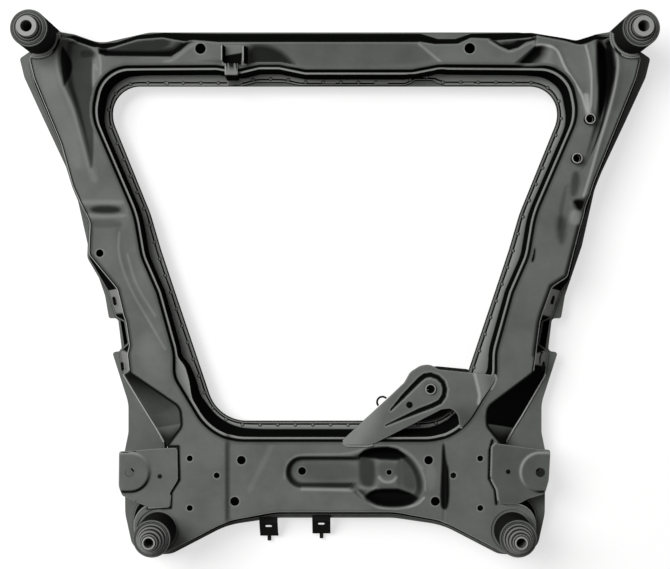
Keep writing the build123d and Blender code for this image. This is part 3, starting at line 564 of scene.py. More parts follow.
def make_finishes(deep, dust_and_sheen_colour):
    """All the finishes of the subframe, from the coat's deep colour and its colour of dust and
    painted top sheen.

    Each row is a name, the deep colour and the colour of dust and painted top sheen, the mean
    roughness and its spread, the scale and the bump of the grain, and the specular level.
    """
    dust_and_sheen_group()
    grain_group()
    shaded_copy, bead = ([share * part for part in dust_and_sheen_colour] for share in (0.12, 1.15))
    for row in (
        (COAT, deep, dust_and_sheen_colour, 0.45, 0.16, 900.0, 0.12, 0.0),
        (SHADED_SHELTERED_COAT, deep, shaded_copy, 0.5, 0.16, 900.0, 0.12, 0.0),
        (WELD, deep, bead, 0.35, 0.2, 400.0, 0.6, 0.0),
        (BARE_STEEL, (0.1, 0.1, 0.095), (0.27, 0.275, 0.265), 0.6, 0.2, 500.0, 0.3, 0.1),
        (SLEEVE_STEEL, (0.008, 0.008, 0.008), (0.09, 0.092, 0.088), 0.5, 0.2, 600.0, 0.2, 0.1),
        (RUBBER, (0.01, 0.01, 0.01), (0.085, 0.09, 0.085), 0.6, 0.15, 1200.0, 0.3, 0.1),
    ):
        finish_material(*row)


# The finish of a carried node, by the first of these words in its name. The nuts, the clip, the hook
# and the rod bracket's lower plate take the darker shaded coat, painted shade where they lie under
# or between other parts.
NODE_FINISHES = {
    "inner_sleeve": BARE_STEEL,
    "outer_sleeve": SLEEVE_STEEL,
    "rubber": RUBBER,
    "nut": SHADED_SHELTERED_COAT,
    "clip": SHADED_SHELTERED_COAT,
    "hook": SHADED_SHELTERED_COAT,
    "torque_rod_bracket_lower": SHADED_SHELTERED_COAT,
}


def finish_of(node):
    """The finish of a carried node, from its name."""
    return next((finish for word, finish in NODE_FINISHES.items() if word in node), COAT)


# The shape of the pressings

# Holes as x, y, radius, and those that stand on both sides
HOLES = [
    (-202, 361, 8), (202, 361, 8), (-353, 54, 5.7), (381, 254.5, 5.5), (361.5, 195.5, 5.5),
    (-50, -276, 6), (82, -277.5, 4),
]
PAIRED_HOLES = [
    (218, -254, 4.5), (218, -328.5, 4.5), (177.5, -279.5, 4.5), (141, -257.5, 6.6),
    (151, -319.5, 6.9),
]
ROUND_HOLES = HOLES + [(side * x, y, r) for x, y, r in PAIRED_HOLES for side in (1, -1)]
REAR_SEAT = 32.0

# Areas and lines of the pressed form. A valley lies between two lines that run the same way.
FRONT_LEFT_SHELF = [
    (-356, 353), (-345, 349), (-246, 348), (-232, 357), (-219, 368), (-205, 374), (-205, 420),
    (-356, 420),
]
FRONT_RIGHT_VEE = [
    (231, 374), (247, 364), (261, 358), (275, 362), (287, 370), (303, 374), (303, 420), (231, 420),
]
RIGHT_FACET = [(126, 368), (158, 341), (164, 336), (268, 337), (300, 364), (300, 400), (126, 400)]
RIGHT_DISH = [(266, 333), (301, 366), (345, 372), (352, 322), (300, 324)]
RIGHT_BULGE = [(322, 360), (324, 345), (328, 328)]
LEFT_VALLEY = (
    [(-404, 372), (-407, 350), (-407, 329), (-402, 303), (-390, 270), (-378, 236), (-368, 200),
     (-358, 170)],
    [(-362, 372), (-364, 344), (-364, 314), (-363, 284), (-363, 239), (-362, 200), (-356, 170)],
)
LEFT_RIDGE_LINE = [
    (-413, 369), (-415, 340), (-412, 317), (-402, 294), (-390, 268), (-381, 239), (-374, 205),
    (-361, 165),
]
RIGHT_VALLEY = (
    [(388, 380), (391, 359), (393, 333), (394, 304), (391, 278), (389, 255), (381, 225),
     (373, 196), (366, 170)],
    [(415, 380), (419, 359), (422, 333), (420, 304), (412, 274), (404, 248), (393, 219),
     (380, 190), (367, 168)],
)

# Lines of painted shadow beside the arm brackets, and hollows of painted shade as area, the line
# that is darkest, its width
SHADED_LINES = [
    [(-262, -236.5), (-235, -236), (-233.5, -286), (-245.5, -305), (-246.5, -328), (-281, -329)],
    [(236, -227), (232, -242), (231, -284), (240, -301), (242, -322)],
]
HOLLOWS = [
    (FRONT_LEFT_SHELF, FRONT_LEFT_SHELF[:6], 24),
    (FRONT_RIGHT_VEE, [(259, 362), (272, 363), (288, 373), (300, 384)], 17),
    (RIGHT_DISH, [(272, 334), (300, 359)], 20),
]
FRONT_TRENCH = [
    (36, -250), (44, -242), (56, -238), (80, -237), (96, -241), (109, -253), (102, -260),
    (64, -258), (38, -257),
]
REAR_TRENCH = [
    (44, -313), (62, -303), (98, -303), (112, -308), (127, -314), (112, -327), (92, -330),
    (66, -328), (48, -320),
]
HANGER_DIP = [(-133, 370), (-98, 368), (-76, 356), (-64, 344), (-56, 334), (-58, 322), (-133, 322)]

# Areas of painted shade: outline, strength, width of the fade
SHADES = [
    ([(-415, 368), (-416, 346), (-413, 323), (-404, 300), (-392, 275), (-383, 240), (-374, 210),
      (-365, 172), (-362, 210), (-363, 255), (-364, 300), (-364, 345), (-366, 361), (-377, 370),
      (-392, 376), (-406, 378)], 0.7, 2),
    ([(-414, 352), (-409, 370), (-402, 358), (-393, 340), (-396, 320), (-406, 298), (-411, 323)],
     1, 3),
    ([(393, 373), (409, 372), (419, 358), (423, 338), (420, 312), (412, 285), (404, 263),
      (398, 252), (396, 270), (395, 293), (392, 323), (391, 353)], 1, 3),
    (FRONT_TRENCH, 1, 3),
    (REAR_TRENCH, 1, 3),
    ([(34, -252), (62, -254), (62, -303), (36, -300)], 0.7, 5),
    ([(332, 111), (349, 108), (347, 80), (340, 64), (332, 80)], 0.6, 6),
    ([(356, 136), (379, 134), (372, 117), (359, 120)], 1, 3),
    ([(356, 179), (369, 174), (363, 138), (352, 140)], 0.6, 4),
    ([(296, 63), (302, 62), (299, 40), (293, 41)], 1, 1.6),
    ([(-367, 126), (-323, 126), (-323, 113), (-367, 113)], 0.8, 4),
    ([(-385, 106), (-320, 105), (-320, 91), (-385, 92)], 0.3, 4),
    ([(-205, 342), (-160, 344), (-160, 328), (-210, 330)], 0.6, 6),
    (HANGER_DIP, 0.9, 7),
    ([(-352, 374), (-340, 370), (-300, 380), (-250, 386), (-246, 366), (-290, 350), (-352, 350)],
     0.8, 7),
    ([(161, -232), (165, -232), (167, -257), (172, -272), (172, -330), (158, -332), (158, -302),
      (160, -264)], 1, 1.8),
    ([(-60, -262), (40, -262), (40, -291), (-60, -291)], 0.3, 6),
    ([(97, -245), (118, -255), (133, -285), (130, -308), (97, -304)], 0.5, 8),
    ([(62, -262), (97, -262), (97, -284), (62, -284)], 0.35, 5),
    ([(424, 330), (452, 330), (427, 265), (408, 270)], 0.2, 8),
    ([(-388, 364), (-360, 362), (-359, 345), (-386, 343)], 0.85, 6),
    ([(-128, 376), (120, 376), (154, 343), (110, 335), (-40, 330), (-128, 350)], 0.24, 6),
]

# Areas of painted light: outline, strength, width of the fade
LIGHTS = [
    ([(346, 365), (372, 370), (383, 335), (384, 300), (380, 272), (371, 292), (361, 312),
      (348, 338), (338, 357)], 0.05, 5),
    ([(376, 370), (391, 372), (392, 320), (394, 270), (386, 268)], 0.16, 4),
    ([(306, 360), (328, 362), (337, 345), (341, 326), (322, 322), (311, 340)], 0.12, 6),
    ([(-450, 330), (-424, 338), (-418, 312), (-402, 270), (-384, 215), (-378, 180), (-392, 180),
      (-420, 250)], 0.1, 6),
    ([(-363, 364), (-351, 357), (-350, 300), (-357, 290), (-362, 300)], 0.15, 3),
    ([(353, 118), (366, 118), (366, 96), (353, 96)], 0.3, 4),
    ([(-389, 134), (-315, 134), (-315, 127), (-389, 127)], 0.2, 3),
    ([(-385, 114), (-313, 114), (-313, 107), (-385, 107)], 0.2, 3),
    ([(136, -262), (152, -266), (152, -300), (138, -306)], 0.12, 4),
    ([(-292, -60), (-258, -70), (-250, -150), (-292, -120)], 0.09, 10),
]
POCKET = [
    (41, -245), (56, -239), (80, -237), (98, -240), (116, -252), (128, -269), (134.6, -287),
    (135.4, -305), (128, -319), (113, -328), (86, -331), (60, -328), (41, -320), (26, -308),
    (16, -299), (16, -252),
]
RIGHT_RIDGE_LINE = [
    (300, 366), (313, 367), (329, 362), (336, 354), (344, 333), (360, 309), (371, 291), (376, 271),
    (381, 263),
]
RIGHT_FORK_LINE = [(374, 372), (378, 359), (384, 333), (385, 304), (384, 278), (381, 263)]
RIGHT_OUTER_LINE = [
    (421, 362), (425, 336), (420, 303), (413, 275), (404, 244), (394, 212), (383, 172), (373, 140),
]

# Lines of painted highlight along crests, which also stand for rubbed coat: line, width, strength
CRESTS = [
    (LEFT_RIDGE_LINE, 9, 0.16),
    ([(-363, 360), (-352, 352), (-352, 314), (-356, 297)], 3.5, 0.35),
    ([(-357, 330), (-362, 340), (-363, 310), (-357, 292)], 5, 0.3),
    (RIGHT_RIDGE_LINE, 3, 0.9),
    (RIGHT_FORK_LINE, 3, 0.75),
    ([(376, 290), (379, 270), (382, 258)], 7, 0.8),
    (RIGHT_OUTER_LINE, 3.4, 0.6),
    ([(126, 368), (158, 341)], 2.5, 0.5),
    ([(231, 371), (247, 361), (261, 355), (275, 359), (287, 367), (303, 371)], 2.5, 0.3),
    ([(-256, 341), (-245, 343), (-232, 352), (-219, 363), (-205, 370)], 4, 0.2),
    ([(275, 18), (264, -8), (249, -46), (239, -83), (224, -134)], 2.2, 0.6),
    ([(-324, 85), (-326, 52), (-308, 0), (-277, -52), (-255, -90)], 3, 0.25),
    ([(-312, 52), (-300, 7), (-270, -40)], 3, 0.2),
    ([(34, -306), (50, -321), (68, -330), (100, -330), (124, -325), (134, -314)], 3, 0.6),
    ([(67, -285), (72, -291), (80, -293), (88, -291), (93, -285)], 3.5, 0.5),
    ([(30, -300), (66, -303)], 5, 0.3),
    ([(97, -241), (117, -252), (129, -269), (136, -287), (136, -303)], 2.6, 0.35),
    ([(-93, -231), (-128, -302)], 7, 0.1),
    ([(-50, -301), (34, -303)], 4, 0.45),
    ([(-76, -284), (-74, -264), (-62, -252), (-48, -249), (20, -249), (50, -238), (84, -234),
      (112, -245), (132, -270)], 3, 0.25),
]


def smoothed(line, closed=False):
    """A line with its corners cut twice, so that it runs softly."""
    line = np.array(line, float)
    for _ in range(2):
        tail, head = (line, np.roll(line, -1, 0)) if closed else (line[:-1], line[1:])
        cut = np.stack([0.75 * tail + 0.25 * head, 0.25 * tail + 0.75 * head], 1).reshape(-1, 2)
        line = cut if closed else np.concatenate([line[:1], cut, line[-1:]])
    return line


def near_box(points, line, margin):
    """Which points lie within a margin of a line's box."""
    low, high = line.min(0) - margin, line.max(0) + margin
    return np.flatnonzero(((points > low) & (points < high)).all(1))


def along_line(x, y, line, widths, heights, flat=0.3):
    """Height of a soft ridge along a line: full near the line, none at its width."""
    gap, _, share = nearest(np.column_stack([x, y]), np.array(line, float), closed=False)
    width = np.interp(share, np.linspace(0, 1, len(widths)), widths)
    height = np.interp(share, np.linspace(0, 1, len(heights)), heights)
    return height * (1 - soft(gap / width, flat, 1.0))


def wedge(x, y, sides, lowest, depths):
    """Depth of a valley between two lines: its bottom lies at one share of the way across.

    The two lines run the same way. Depth follows the share of the way along the first line.
    """
    first, second = (np.array(side, float) for side in sides)
    points = np.column_stack([x, y])
    first_gap, _, along = nearest(points, first, closed=False)
    across = first_gap / np.maximum(first_gap + line_gap(x, y, second), 1e-6)
    slope = hump(across, 0.0, lowest, lowest, 1.0)
    depth = np.interp(along, np.linspace(0, 1, len(depths)), depths)
    return depth * slope * inside_points(points, np.concatenate([first, second[::-1]]))


def signed(x, y, polygon):
    """Distance to a closed polygon's edge: positive inside it, negative outside."""
    points = np.column_stack([x, y])
    line = np.array(polygon, float)
    gap = nearest(points, line)[0]
    return np.where(inside_points(points, line), gap, -gap)


def line_gap(x, y, line):
    """Distance to an open line."""
    return nearest(np.column_stack([x, y]), np.array(line, float), closed=False)[0]


# The keyhole: its slot's two ends in x and their y, and its pad's middle and half size
SLOT_ENDS = (-50.0, 82.0)
SLOT_Y = -276.0
SLOT_REACH = (15.0, 26.0)
KEYHOLE_DEPTH = 15.5
TRENCH_DEPTH = 11.0
PAD = (80.0, -279.0)
PAD_SIZE = (17.0, 22.0)
PAD_RISE = 3.5


def keyhole(x, y):
    """Depth of the slot and of the oval pocket, with two deeper trenches beside its pad."""
    slot = np.hypot(np.clip(x, *SLOT_ENDS) - x, y - SLOT_Y)
    depth = KEYHOLE_DEPTH * (1 - soft(slot, *SLOT_REACH))
    pocket = soft(signed(x, y, smoothed(POCKET, True)), 0.0, 15.0)
    depth = np.maximum(depth, KEYHOLE_DEPTH * pocket)
    trench = np.maximum(*(soft(signed(x, y, area), -2, 9) for area in (FRONT_TRENCH, REAR_TRENCH)))
    pad = np.maximum(np.abs(x - PAD[0]) / PAD_SIZE[0], np.abs(y - PAD[1]) / PAD_SIZE[1])
    return depth + TRENCH_DEPTH * trench - PAD_RISE * (1 - soft(pad, 0.65, 1.25))


# Areas of the front member that lie higher or lower: area, height, where its slope starts and
# ends as distances inside the area's edge
FRONT_AREAS = [
    (FRONT_LEFT_SHELF, -22.0, -1.0, 13.0),
    (FRONT_RIGHT_VEE, -22.0, -1.0, 9.0),
    (RIGHT_FACET, 2.6, -1.5, 1.5),
]
DISH_DEPTH = 8.0
DISH_MOUTH = [(278.0, 340.0), (300.0, 358.0)]
HANGER_DIP_DEPTH = 4.0


def front_height(x, y):
    """What the front member and its corners add to the plate: shelves, dishes, ridges, valleys."""
    z = np.zeros(len(x))
    for area, height, low, high in FRONT_AREAS:
        z += height * soft(signed(x, y, area), low, high)
    open_side = 1 - soft(line_gap(x, y, DISH_MOUTH), 6.0, 28.0)
    z -= DISH_DEPTH * soft(signed(x, y, RIGHT_DISH), -1.0, 10.0) * open_side
    z += along_line(x, y, RIGHT_BULGE, [14], [2.5], 0.0)
    z -= HANGER_DIP_DEPTH * soft(signed(x, y, HANGER_DIP), -4.0, 12.0)
    z -= wedge(x, y, LEFT_VALLEY, 0.3, [9, 9, 8, 7, 5, 3, 2, 0])
    z += along_line(x, y, LEFT_RIDGE_LINE, [16, 14, 12, 10], [2.5, 2.5, 2.0, 0.0], 0.0)
    z += along_line(x, y, RIGHT_RIDGE_LINE, [8], [1.0, 1.6, 1.6, 1.0], 0.0)
    z += along_line(x, y, RIGHT_FORK_LINE, [8], [1.6], 0.0)
    z -= wedge(x, y, RIGHT_VALLEY, 0.75, [24, 24, 22, 18, 14, 9, 5, 2, 0])
    z += along_line(x, y, RIGHT_OUTER_LINE, [12, 12, 10, 9], [2.0, 2.0, 2.5, 1.5], 0.0)
    return z


# Bands of painted shade inside the side members' rims: the rim, how dark they are and how wide. Then
# the share of the painted highlight that is kept, and where the painted shadow round the front tubes
# fades.
RIM_BANDS = [(RIM_RIGHT, 0.95, 9.5), (RIM_LEFT, 0.6, 8.0)]
HIGHLIGHT_AND_WEAR_SHARE = 0.9
TUBE_SHADE = (34.0, 37.5)


def marks(x, y):
    """Painted shade, where the coat shows deep and without dust, in hollows, shadows and dark bands,
    and painted highlight, which also stands for rubbed coat, on crests, hole edges and lit areas.

    Each mark is the largest of its areas' and lines' soft falls, and the shade hides the highlight.
    """
    points = np.column_stack([x, y])
    clean_and_shaded, worn_and_highlit = np.zeros(len(x)), np.zeros(len(x))
    # areas of painted shade and of painted light
    for areas, mark in ((SHADES, clean_and_shaded), (LIGHTS, worn_and_highlit)):
        for polygon, strength, fade in areas:
            line = smoothed(polygon, True)
            k = near_box(points, line, fade)
            mark[k] = np.maximum(mark[k], strength * soft(signed(x[k], y[k], line), -fade, fade))
    # painted shade in the hollows
    for polygon, line, width in HOLLOWS:
        line = smoothed(line)
        k = near_box(points, line, 1.2 * width)
        inner = soft(signed(x[k], y[k], polygon), -1.0, 3.0)
        fall = 1 - soft(line_gap(x[k], y[k], line), 0.4 * width, 1.15 * width)
        clean_and_shaded[k] = np.maximum(clean_and_shaded[k], inner * fall)
    # painted highlight along the crests
    for line, width, strength in CRESTS:
        line = smoothed(line)
        k = near_box(points, line, width)
        fall = 1 - soft(line_gap(x[k], y[k], line) / width, 0.1, 1.0)
        worn_and_highlit[k] = np.maximum(worn_and_highlit[k], strength * fall)
    worn_and_highlit *= HIGHLIGHT_AND_WEAR_SHARE
    # a painted highlight round each hole's edge
    for hole_x, hole_y, radius in ROUND_HOLES:
        gap = np.hypot(x - hole_x, y - hole_y) - radius
        worn_and_highlit = np.maximum(worn_and_highlit, 0.3 * (1 - soft(gap, 0.3, 2.4)))
    # painted shadow lines beside the arm brackets
    for line in SHADED_LINES:
        k = near_box(points, np.array(line, float), 4.0)
        clean_and_shaded[k] = np.maximum(clean_and_shaded[k], 1 - soft(line_gap(x[k], y[k], line), 1.2, 3.6))
    # bands of painted shade inside the side rims
    for rim, strength, width in RIM_BANDS:
        side = [corner[:2] for corner in rim if -130 < corner[1] < 100 and abs(corner[0]) > 300]
        k = near_box(points, np.array(side, float), width)
        fall = 1 - soft(line_gap(x[k], y[k], side), 0.35 * width, width)
        clean_and_shaded[k] = np.maximum(clean_and_shaded[k], strength * fall)
    # painted shadow round the foot of each front tube
    away = np.hypot(np.abs(x) - FRONT_MOUNT[0], y - FRONT_MOUNT[1])
    clean_and_shaded = np.maximum(clean_and_shaded, 1 - soft(away, *TUBE_SHADE))
    return clean_and_shaded, worn_and_highlit * (1 - clean_and_shaded)


# The rear member's middle lies one step lower, between these distances from the centre line
REAR_MIDDLE = (157.0, 167.0)


def rear_height(x, y):
    """What the rear member adds: the lowered middle and the keyhole."""
    middle = 1 - soft(np.abs(x), *REAR_MIDDLE)
    return -middle * soft(-y, 214.0, 236.0) * (PLATE - LEDGE) - keyhole(x, y)


# The left member's cross step: its depth, and its falls in y and in x
CROSS_STEP = 6.0
CROSS_STEP_Y = (-126.0, -113.0, -106.0, -88.0)
CROSS_STEP_X = (-386.0, -372.0, -322.0, -310.0)
LEFT_TROUGH = [(-316, 88), (-310, 50), (-296, 5), (-270, -60)]
RIGHT_TROUGH = [(352, 150), (347, 112), (343, 92)]
RIGHT_POCKET = [(353, 136), (372, 136), (390, 150), (388, 112), (374, 108)]
RIGHT_POCKET_DEPTH = 7.0


def hump(value, start, full, last, end):
    """Zero before the start and after the end, one between full and last, soft between."""
    return soft(value, start, full) * (1 - soft(value, last, end))


def side_height(x, y):
    """What the side members add: cross steps and long shallow troughs."""
    left = (x < 0) & (y < 200) & (y > -200)
    step = hump(-y, *CROSS_STEP_Y) * CROSS_STEP * hump(x, *CROSS_STEP_X)
    z = -np.where(left, step, 0.0)
    z -= along_line(x, y, LEFT_TROUGH, [16, 18, 18, 10], [2, 3, 3, 1], 0.2)
    z -= along_line(x, y, RIGHT_TROUGH, [10, 14, 10], [2, 4, 2], 0.2)
    return z - RIGHT_POCKET_DEPTH * soft(signed(x, y, RIGHT_POCKET), -2.0, 9.0)


def plate_height(x, y):
    """Height of the top plate over the floor."""
    z = np.full(len(x), PLATE)
    front, rear = y > 130, y < -190
    z[front] += front_height(x[front], y[front])
    z[rear] += rear_height(x[rear], y[rear])
    side = (y < 180) & (y > -140)
    z[side] += side_height(x[side], y[side])
    return z


def dressed_plate(x, y):
    """Height and marks of the top plate."""
    return (plate_height(x, y), *marks(x, y))


def ledge_height(x, y):
    """Height of the ledge inside the groove: one sheet step under the plate beside it."""
    middle = (1 - soft(np.abs(x), *REAR_MIDDLE)) * soft(-y, 190.0, 225.0)
    return LEDGE - middle * (LEDGE - REAR_LEDGE)


def bend(points, faces):
    """How sharply the surface bends at each point: above zero on ridges, below in grooves.

    It is the mean, over a point's edges, of the slope from the neighbour up to the point along
    the point's normal.
    """
    points = points[:, :3]
    a, b, c = (points[faces[:, k]] for k in range(3))
    flat = np.cross(b - a, c - a)
    normal = np.zeros_like(points)
    for k in range(3):
        np.add.at(normal, faces[:, k], flat)
    normal /= np.maximum(np.linalg.norm(normal, axis=1), 1e-9)[:, None]
    edges = np.concatenate([faces[:, [0, 1]], faces[:, [1, 2]], faces[:, [2, 0]]])
    edges = np.unique(np.sort(edges, 1), axis=0)
    step = points[edges[:, 1]] - points[edges[:, 0]]
    length = np.maximum(np.linalg.norm(step, axis=1), 1e-6)
    total, count = np.zeros(len(points)), np.zeros(len(points))
    for own, sign in ((0, -1.0), (1, 1.0)):
        slope = sign * (normal[edges[:, own]] * step).sum(1) / length
        np.add.at(total, edges[:, own], slope)
        np.add.at(count, edges[:, own], 1.0)
    value = total / np.maximum(count, 1)
    for _ in range(2):
        spread = np.zeros(len(points))
        np.add.at(spread, edges[:, 0], value[edges[:, 1]])
        np.add.at(spread, edges[:, 1], value[edges[:, 0]])
        value = (value + spread / np.maximum(count, 1)) / 2
    return value


def between(values, low, high):
    """Which values lie between two others."""
    return (values > low) & (values < high)


# How far inside the rim the plate ends, and how far the flange reaches out from the wall's foot
RIM_INSET = 3.2
OUTER_FLANGE = 4.0

# Stretches of the outer wall, from a distance beside the centre line outwards and by y: the
# walls of the rear pockets, darkest before a y, and the panels beside the slots
POCKET_X, POCKET_Y, POCKET_DARK_Y = 222, (-236, -122), -202
PANEL_X, FRONT_PANEL_Y, REAR_PANEL_Y = 300, (-37, 0), (-123, -97)


def outer_band(rim, inner):
    """Rows from the plate's edge over the rolled rim, down the leaning wall and over its flange.

    The marks, painted shade and painted highlight, differ along the rim: front, rear and side
    members, the walls of the rear pockets and the panels beside the side walls' slots. Shade lies
    inside the side rims, down the wall and over the flange; highlight along the rim's lip, on a line
    of the flange and on those panels.
    """
    foot_points = np.array([corner[3:5] for corner in RIM_RIGHT + RIM_LEFT], float)
    foot_radii = np.array([corner[5] for corner in RIM_RIGHT + RIM_LEFT], float)
    top = rim.row()
    foot = rim.row(0.0, foot_points, foot_radii)
    edge = rim.row(OUTER_FLANGE, foot_points, foot_radii)
    flange = edge - foot
    height = plate_height(*inner.T)
    clean_and_shaded, worn_and_highlit = marks(*inner.T)
    front = soft(inner[:, 1], 345.0, 358.0) * (1 - soft(np.abs(inner[:, 0]), 400.0, 425.0))
    rear = soft(-inner[:, 1], 300.0, 345.0)
    side = (1 - front) * (1 - rear)
    x, y = np.abs(top[:, 0]), top[:, 1]
    pocket = (x > POCKET_X) & between(y, *POCKET_Y)
    panel = (x > PANEL_X) & (between(y, *FRONT_PANEL_Y) | between(y, *REAR_PANEL_Y))
    deep = np.where(pocket & (top[:, 0] < 0), 0.4, 1.0)
    deep = np.where(panel | (pocket & (y < POCKET_DARK_Y)), 0.0, deep)
    lip = np.where(pocket, 0.0, 0.75) * side
    ring = np.where(pocket, 0.9, 0.2) * (1 - front)
    flat = 0.3 * (1 - pocket) + 0.7 * front
    rows = [
        raised(inner, height, np.maximum(clean_and_shaded, 0.55 * side), np.maximum(worn_and_highlit, 0.12 * front)),
        raised(rim.row(-2.4), height - 0.05, 0.95 * side, 0.12 * front),
        raised(rim.row(-1.2), height - 0.3, 0.95 * side + 0.4 * front),
        raised(rim.row(-0.8), height - 0.5, front + pocket, lip + 0.5 * rear),
        raised(top, height - 1.2, front + pocket, lip + 0.4 * rear),
        raised(top + (foot - top) * 0.04, height - 3.2, deep, 0.55 * panel),
        raised(foot, FLANGE, deep, 0.45 * panel),
        raised(edge - flange * 0.7, FLANGE, 1.0),
        raised(edge - flange * 0.6, FLANGE, flat, ring),
        raised(edge - flange * 0.25, FLANGE, flat, 0.6 * ring),
        raised(edge, FLANGE - 0.3, 1.0),
    ]
    return band(folded(rows, [1.0, 0.3, 0.2, 0.3, 1.0, 1.2, 0.2, 0.2, 0.2]))


def bay_outline(front_right, side, front_left):
    """A line round the bay: two front runs, one side and its mirror image."""
    return Outline(front_right + side + mirrored(side) + front_left)


def inner_band():
    """Rows from the bay's edge over the flange, up the wall, over ledge and groove to the plate.

    Also gives the last row's plan, where the plate begins. Rows up to the ledge are measured
    outwards from the bay's edge, along the shortest way to the groove. Their marks paint shade at
    the flange's edge and seam, down the wall and in the groove, and highlight lines on the flange
    and along the ledge.
    """
    step = bay_outline(STEP_RIGHT_FRONT, STEP_SIDE, STEP_LEFT_FRONT)
    groove, plate_rim = step.row(), step.row(6.0)
    bay = bay_outline(BAY_RIGHT_FRONT, BAY_SIDE, BAY_LEFT_FRONT).row()
    reach, bay_foot, _ = nearest(groove, bay)
    away = (groove - bay_foot) / reach[:, None]
    x, y = groove.T
    ledge, height = ledge_height(x, y), plate_height(*plate_rim.T)
    corner = np.zeros(len(groove))
    for corner_x, corner_y, spread in LEDGE_CORNERS:
        far = np.hypot(np.abs(x) - corner_x, y - corner_y)
        corner = np.maximum(corner, 1 - soft(far, 0.3 * spread, spread))
    notch = NOTCH_WIDENING * hump(-y, *NOTCH_RUN) * (x < 0)
    wall_top = reach - LEDGE_WIDTH - LEDGE_WIDENING * corner - notch
    wall_foot = wall_top - WALL_RUN - WALL_WIDENING * corner
    wall_foot = wall_foot - REAR_WALL_WIDENING * soft(-y, 110.0, 210.0)
    seam = np.clip(0.38 * wall_foot, 4.2, 6.2)

    def out(distance, z, clean_and_shaded=0.0, worn_and_highlit=0.0):
        """A row at a distance outwards from the bay's edge."""
        line = bay_foot + away * np.broadcast_to(distance, reach.shape)[:, None]
        return raised(line, z, clean_and_shaded, worn_and_highlit)

    rows = [
        out(0.4, FLANGE - 0.3, 1.0),
        out(1.4, FLANGE, 1.0),
        out(1.9, FLANGE, 0.0, 0.3),
        out(seam - 1.3, FLANGE, 0.0, 0.2),
        out(seam - 1.0, FLANGE - 0.8, 1.0),
        out(seam + 1.0, FLANGE - 0.8, 1.0),
        out(seam + 1.4, FLANGE, 0.0, 0.4),
        out(wall_foot - 1.3, FLANGE, 0.0, 0.12),
        out(wall_foot - 0.7, FLANGE, 0.8),
        out(wall_foot, FLANGE, 1.0),
        out(wall_top - 0.4, ledge - 1.5, 1.0),
        out(wall_top, ledge, 0.0, 0.45),
        out(np.maximum(wall_top + 2.2, reach - 1.4), ledge, 0.0, 0.35 * (notch < 1)),
        out(np.maximum(wall_top + 2.8, reach - 0.9), ledge, 0.8),
        raised(groove, ledge, 1.0),
        raised(step.row(2.2), height, 0.95),
        raised(step.row(3.6), height, 0.3),
        raised(plate_rim, height, 0.15),
    ]
    return band(folded(rows, [0] * 8 + [0.6, 0.3, 0.3, 0, 0, 0.6, 1.0, 0])), plate_rim


def upper_surface():
    """The whole upper pressing as points and triangles, before its members part."""
    rim = Outline(RIM_RIGHT + RIM_LEFT)
    inner = rim.row(-RIM_INSET)
    inner_rows, plate_rim = inner_band()
    holes = [rim_points((x, y), radius) for x, y, radius in ROUND_HOLES]
    for side in (1, -1):
        holes.append(rim_points((side * REAR_MOUNT[0], REAR_MOUNT[1]), REAR_SEAT, 64))
    plate = patch(inner, [plate_rim] + holes, dressed_plate, 1.5)
    points, faces = joined([outer_band(rim, inner), inner_rows, plate])
    return welded(points, upward(points[:, :2], faces))


def make_uppers():
    """The four upper pressings, one for each member, each with its sheet's thickness."""
    points, faces = upper_surface()
    # painted shade in grooves and painted highlight on ridges, as the surface bends
    bent = bend(points, faces)
    points[:, 3] = np.maximum(points[:, 3], 0.7 * soft(-bent, 0.03, 0.25))
    points[:, 4] = np.maximum(points[:, 4], 0.25 * soft(bent, 0.05, 0.3))
    middle = points[faces].mean(1)
    member = member_of(middle[:, 0], middle[:, 1])
    for place, name in enumerate(MEMBERS):
        own = faces[member == place]
        build(name + "_upper_pressing", points, own, (name + "_upper",), SHEET)


# Brackets: outlines as corners x, y, radius, then the middle lines of the bead and the fold

ROD_BRACKET = [
    (10.5, -227.5, 4), (42, -198.2, 60), (79.7, -163.6, 60), (104, -140.5, 10), (113, -124.5, 16),
    (128, -115, 22), (143, -112.5, 22), (155.5, -120.5, 16), (240, -129, 5), (241, -138, 6),
    (234.5, -151, 40), (219.5, -181.7, 80), (198.4, -209.5, 3), (187, -205, 6), (185, -190, 12),
    (176, -179, 12), (160, -181, 14), (111.3, -206, 60), (62, -230.8, 10), (50, -234.5, 4),
    (14, -234.5, 4),
]
ROD_BEAD = [
    (84, -182), (105, -159), (127.8, -135.8), (135.3, -130.3), (144.3, -129), (154.9, -132.8),
    (162.4, -140.3), (165.4, -150.1), (163.9, -160.6), (157.9, -169.6), (145.8, -175.7),
    (127.8, -182.4), (105.2, -192.2), (90, -199), (76.7, -205),
]
ROD_FOLD = [(210, -127), (215, -147), (217.5, -160), (216, -172)]
LEFT_ARM_BRACKET = [
    (-323, -243, 3), (-269.6, -238.6, 60), (-236, -237.6, 5), (-235.2, -285.9, 14),
    (-247.2, -305.3, 12), (-247.9, -326.6, 3), (-280.1, -326.6, 8), (-307.1, -315.8, 20),
    (-319.1, -309, 5), (-323.6, -294, 20),
]
RIGHT_ARM_BRACKET = [
    (234.5, -230, 6), (292.1, -237.6, 40), (322.4, -241, 3), (319.8, -286, 40), (313.5, -307.5, 6),
    (289, -314.5, 20), (275.6, -322, 10), (245.7, -322, 4), (242.7, -300.8, 12),
    (233.7, -284.4, 14),
]
ROD_SHEET = 3.0
ROD_TOP = 76.0
ROD_BOLT = (143.5, -150.0)
ROD_PEG = (112.0, -174.0)
ROD_NOTCH = (192.0, -195.0)
ROD_BEAD_DEPTH = 3.4
ROD_RISE = 3.5
ARM_TOP = 83.0
ARM_BOLT = (307.0, -274.0)
ARM_BOSS = (25.5, 33.0)
ARM_BOSS_RISE = 4.0


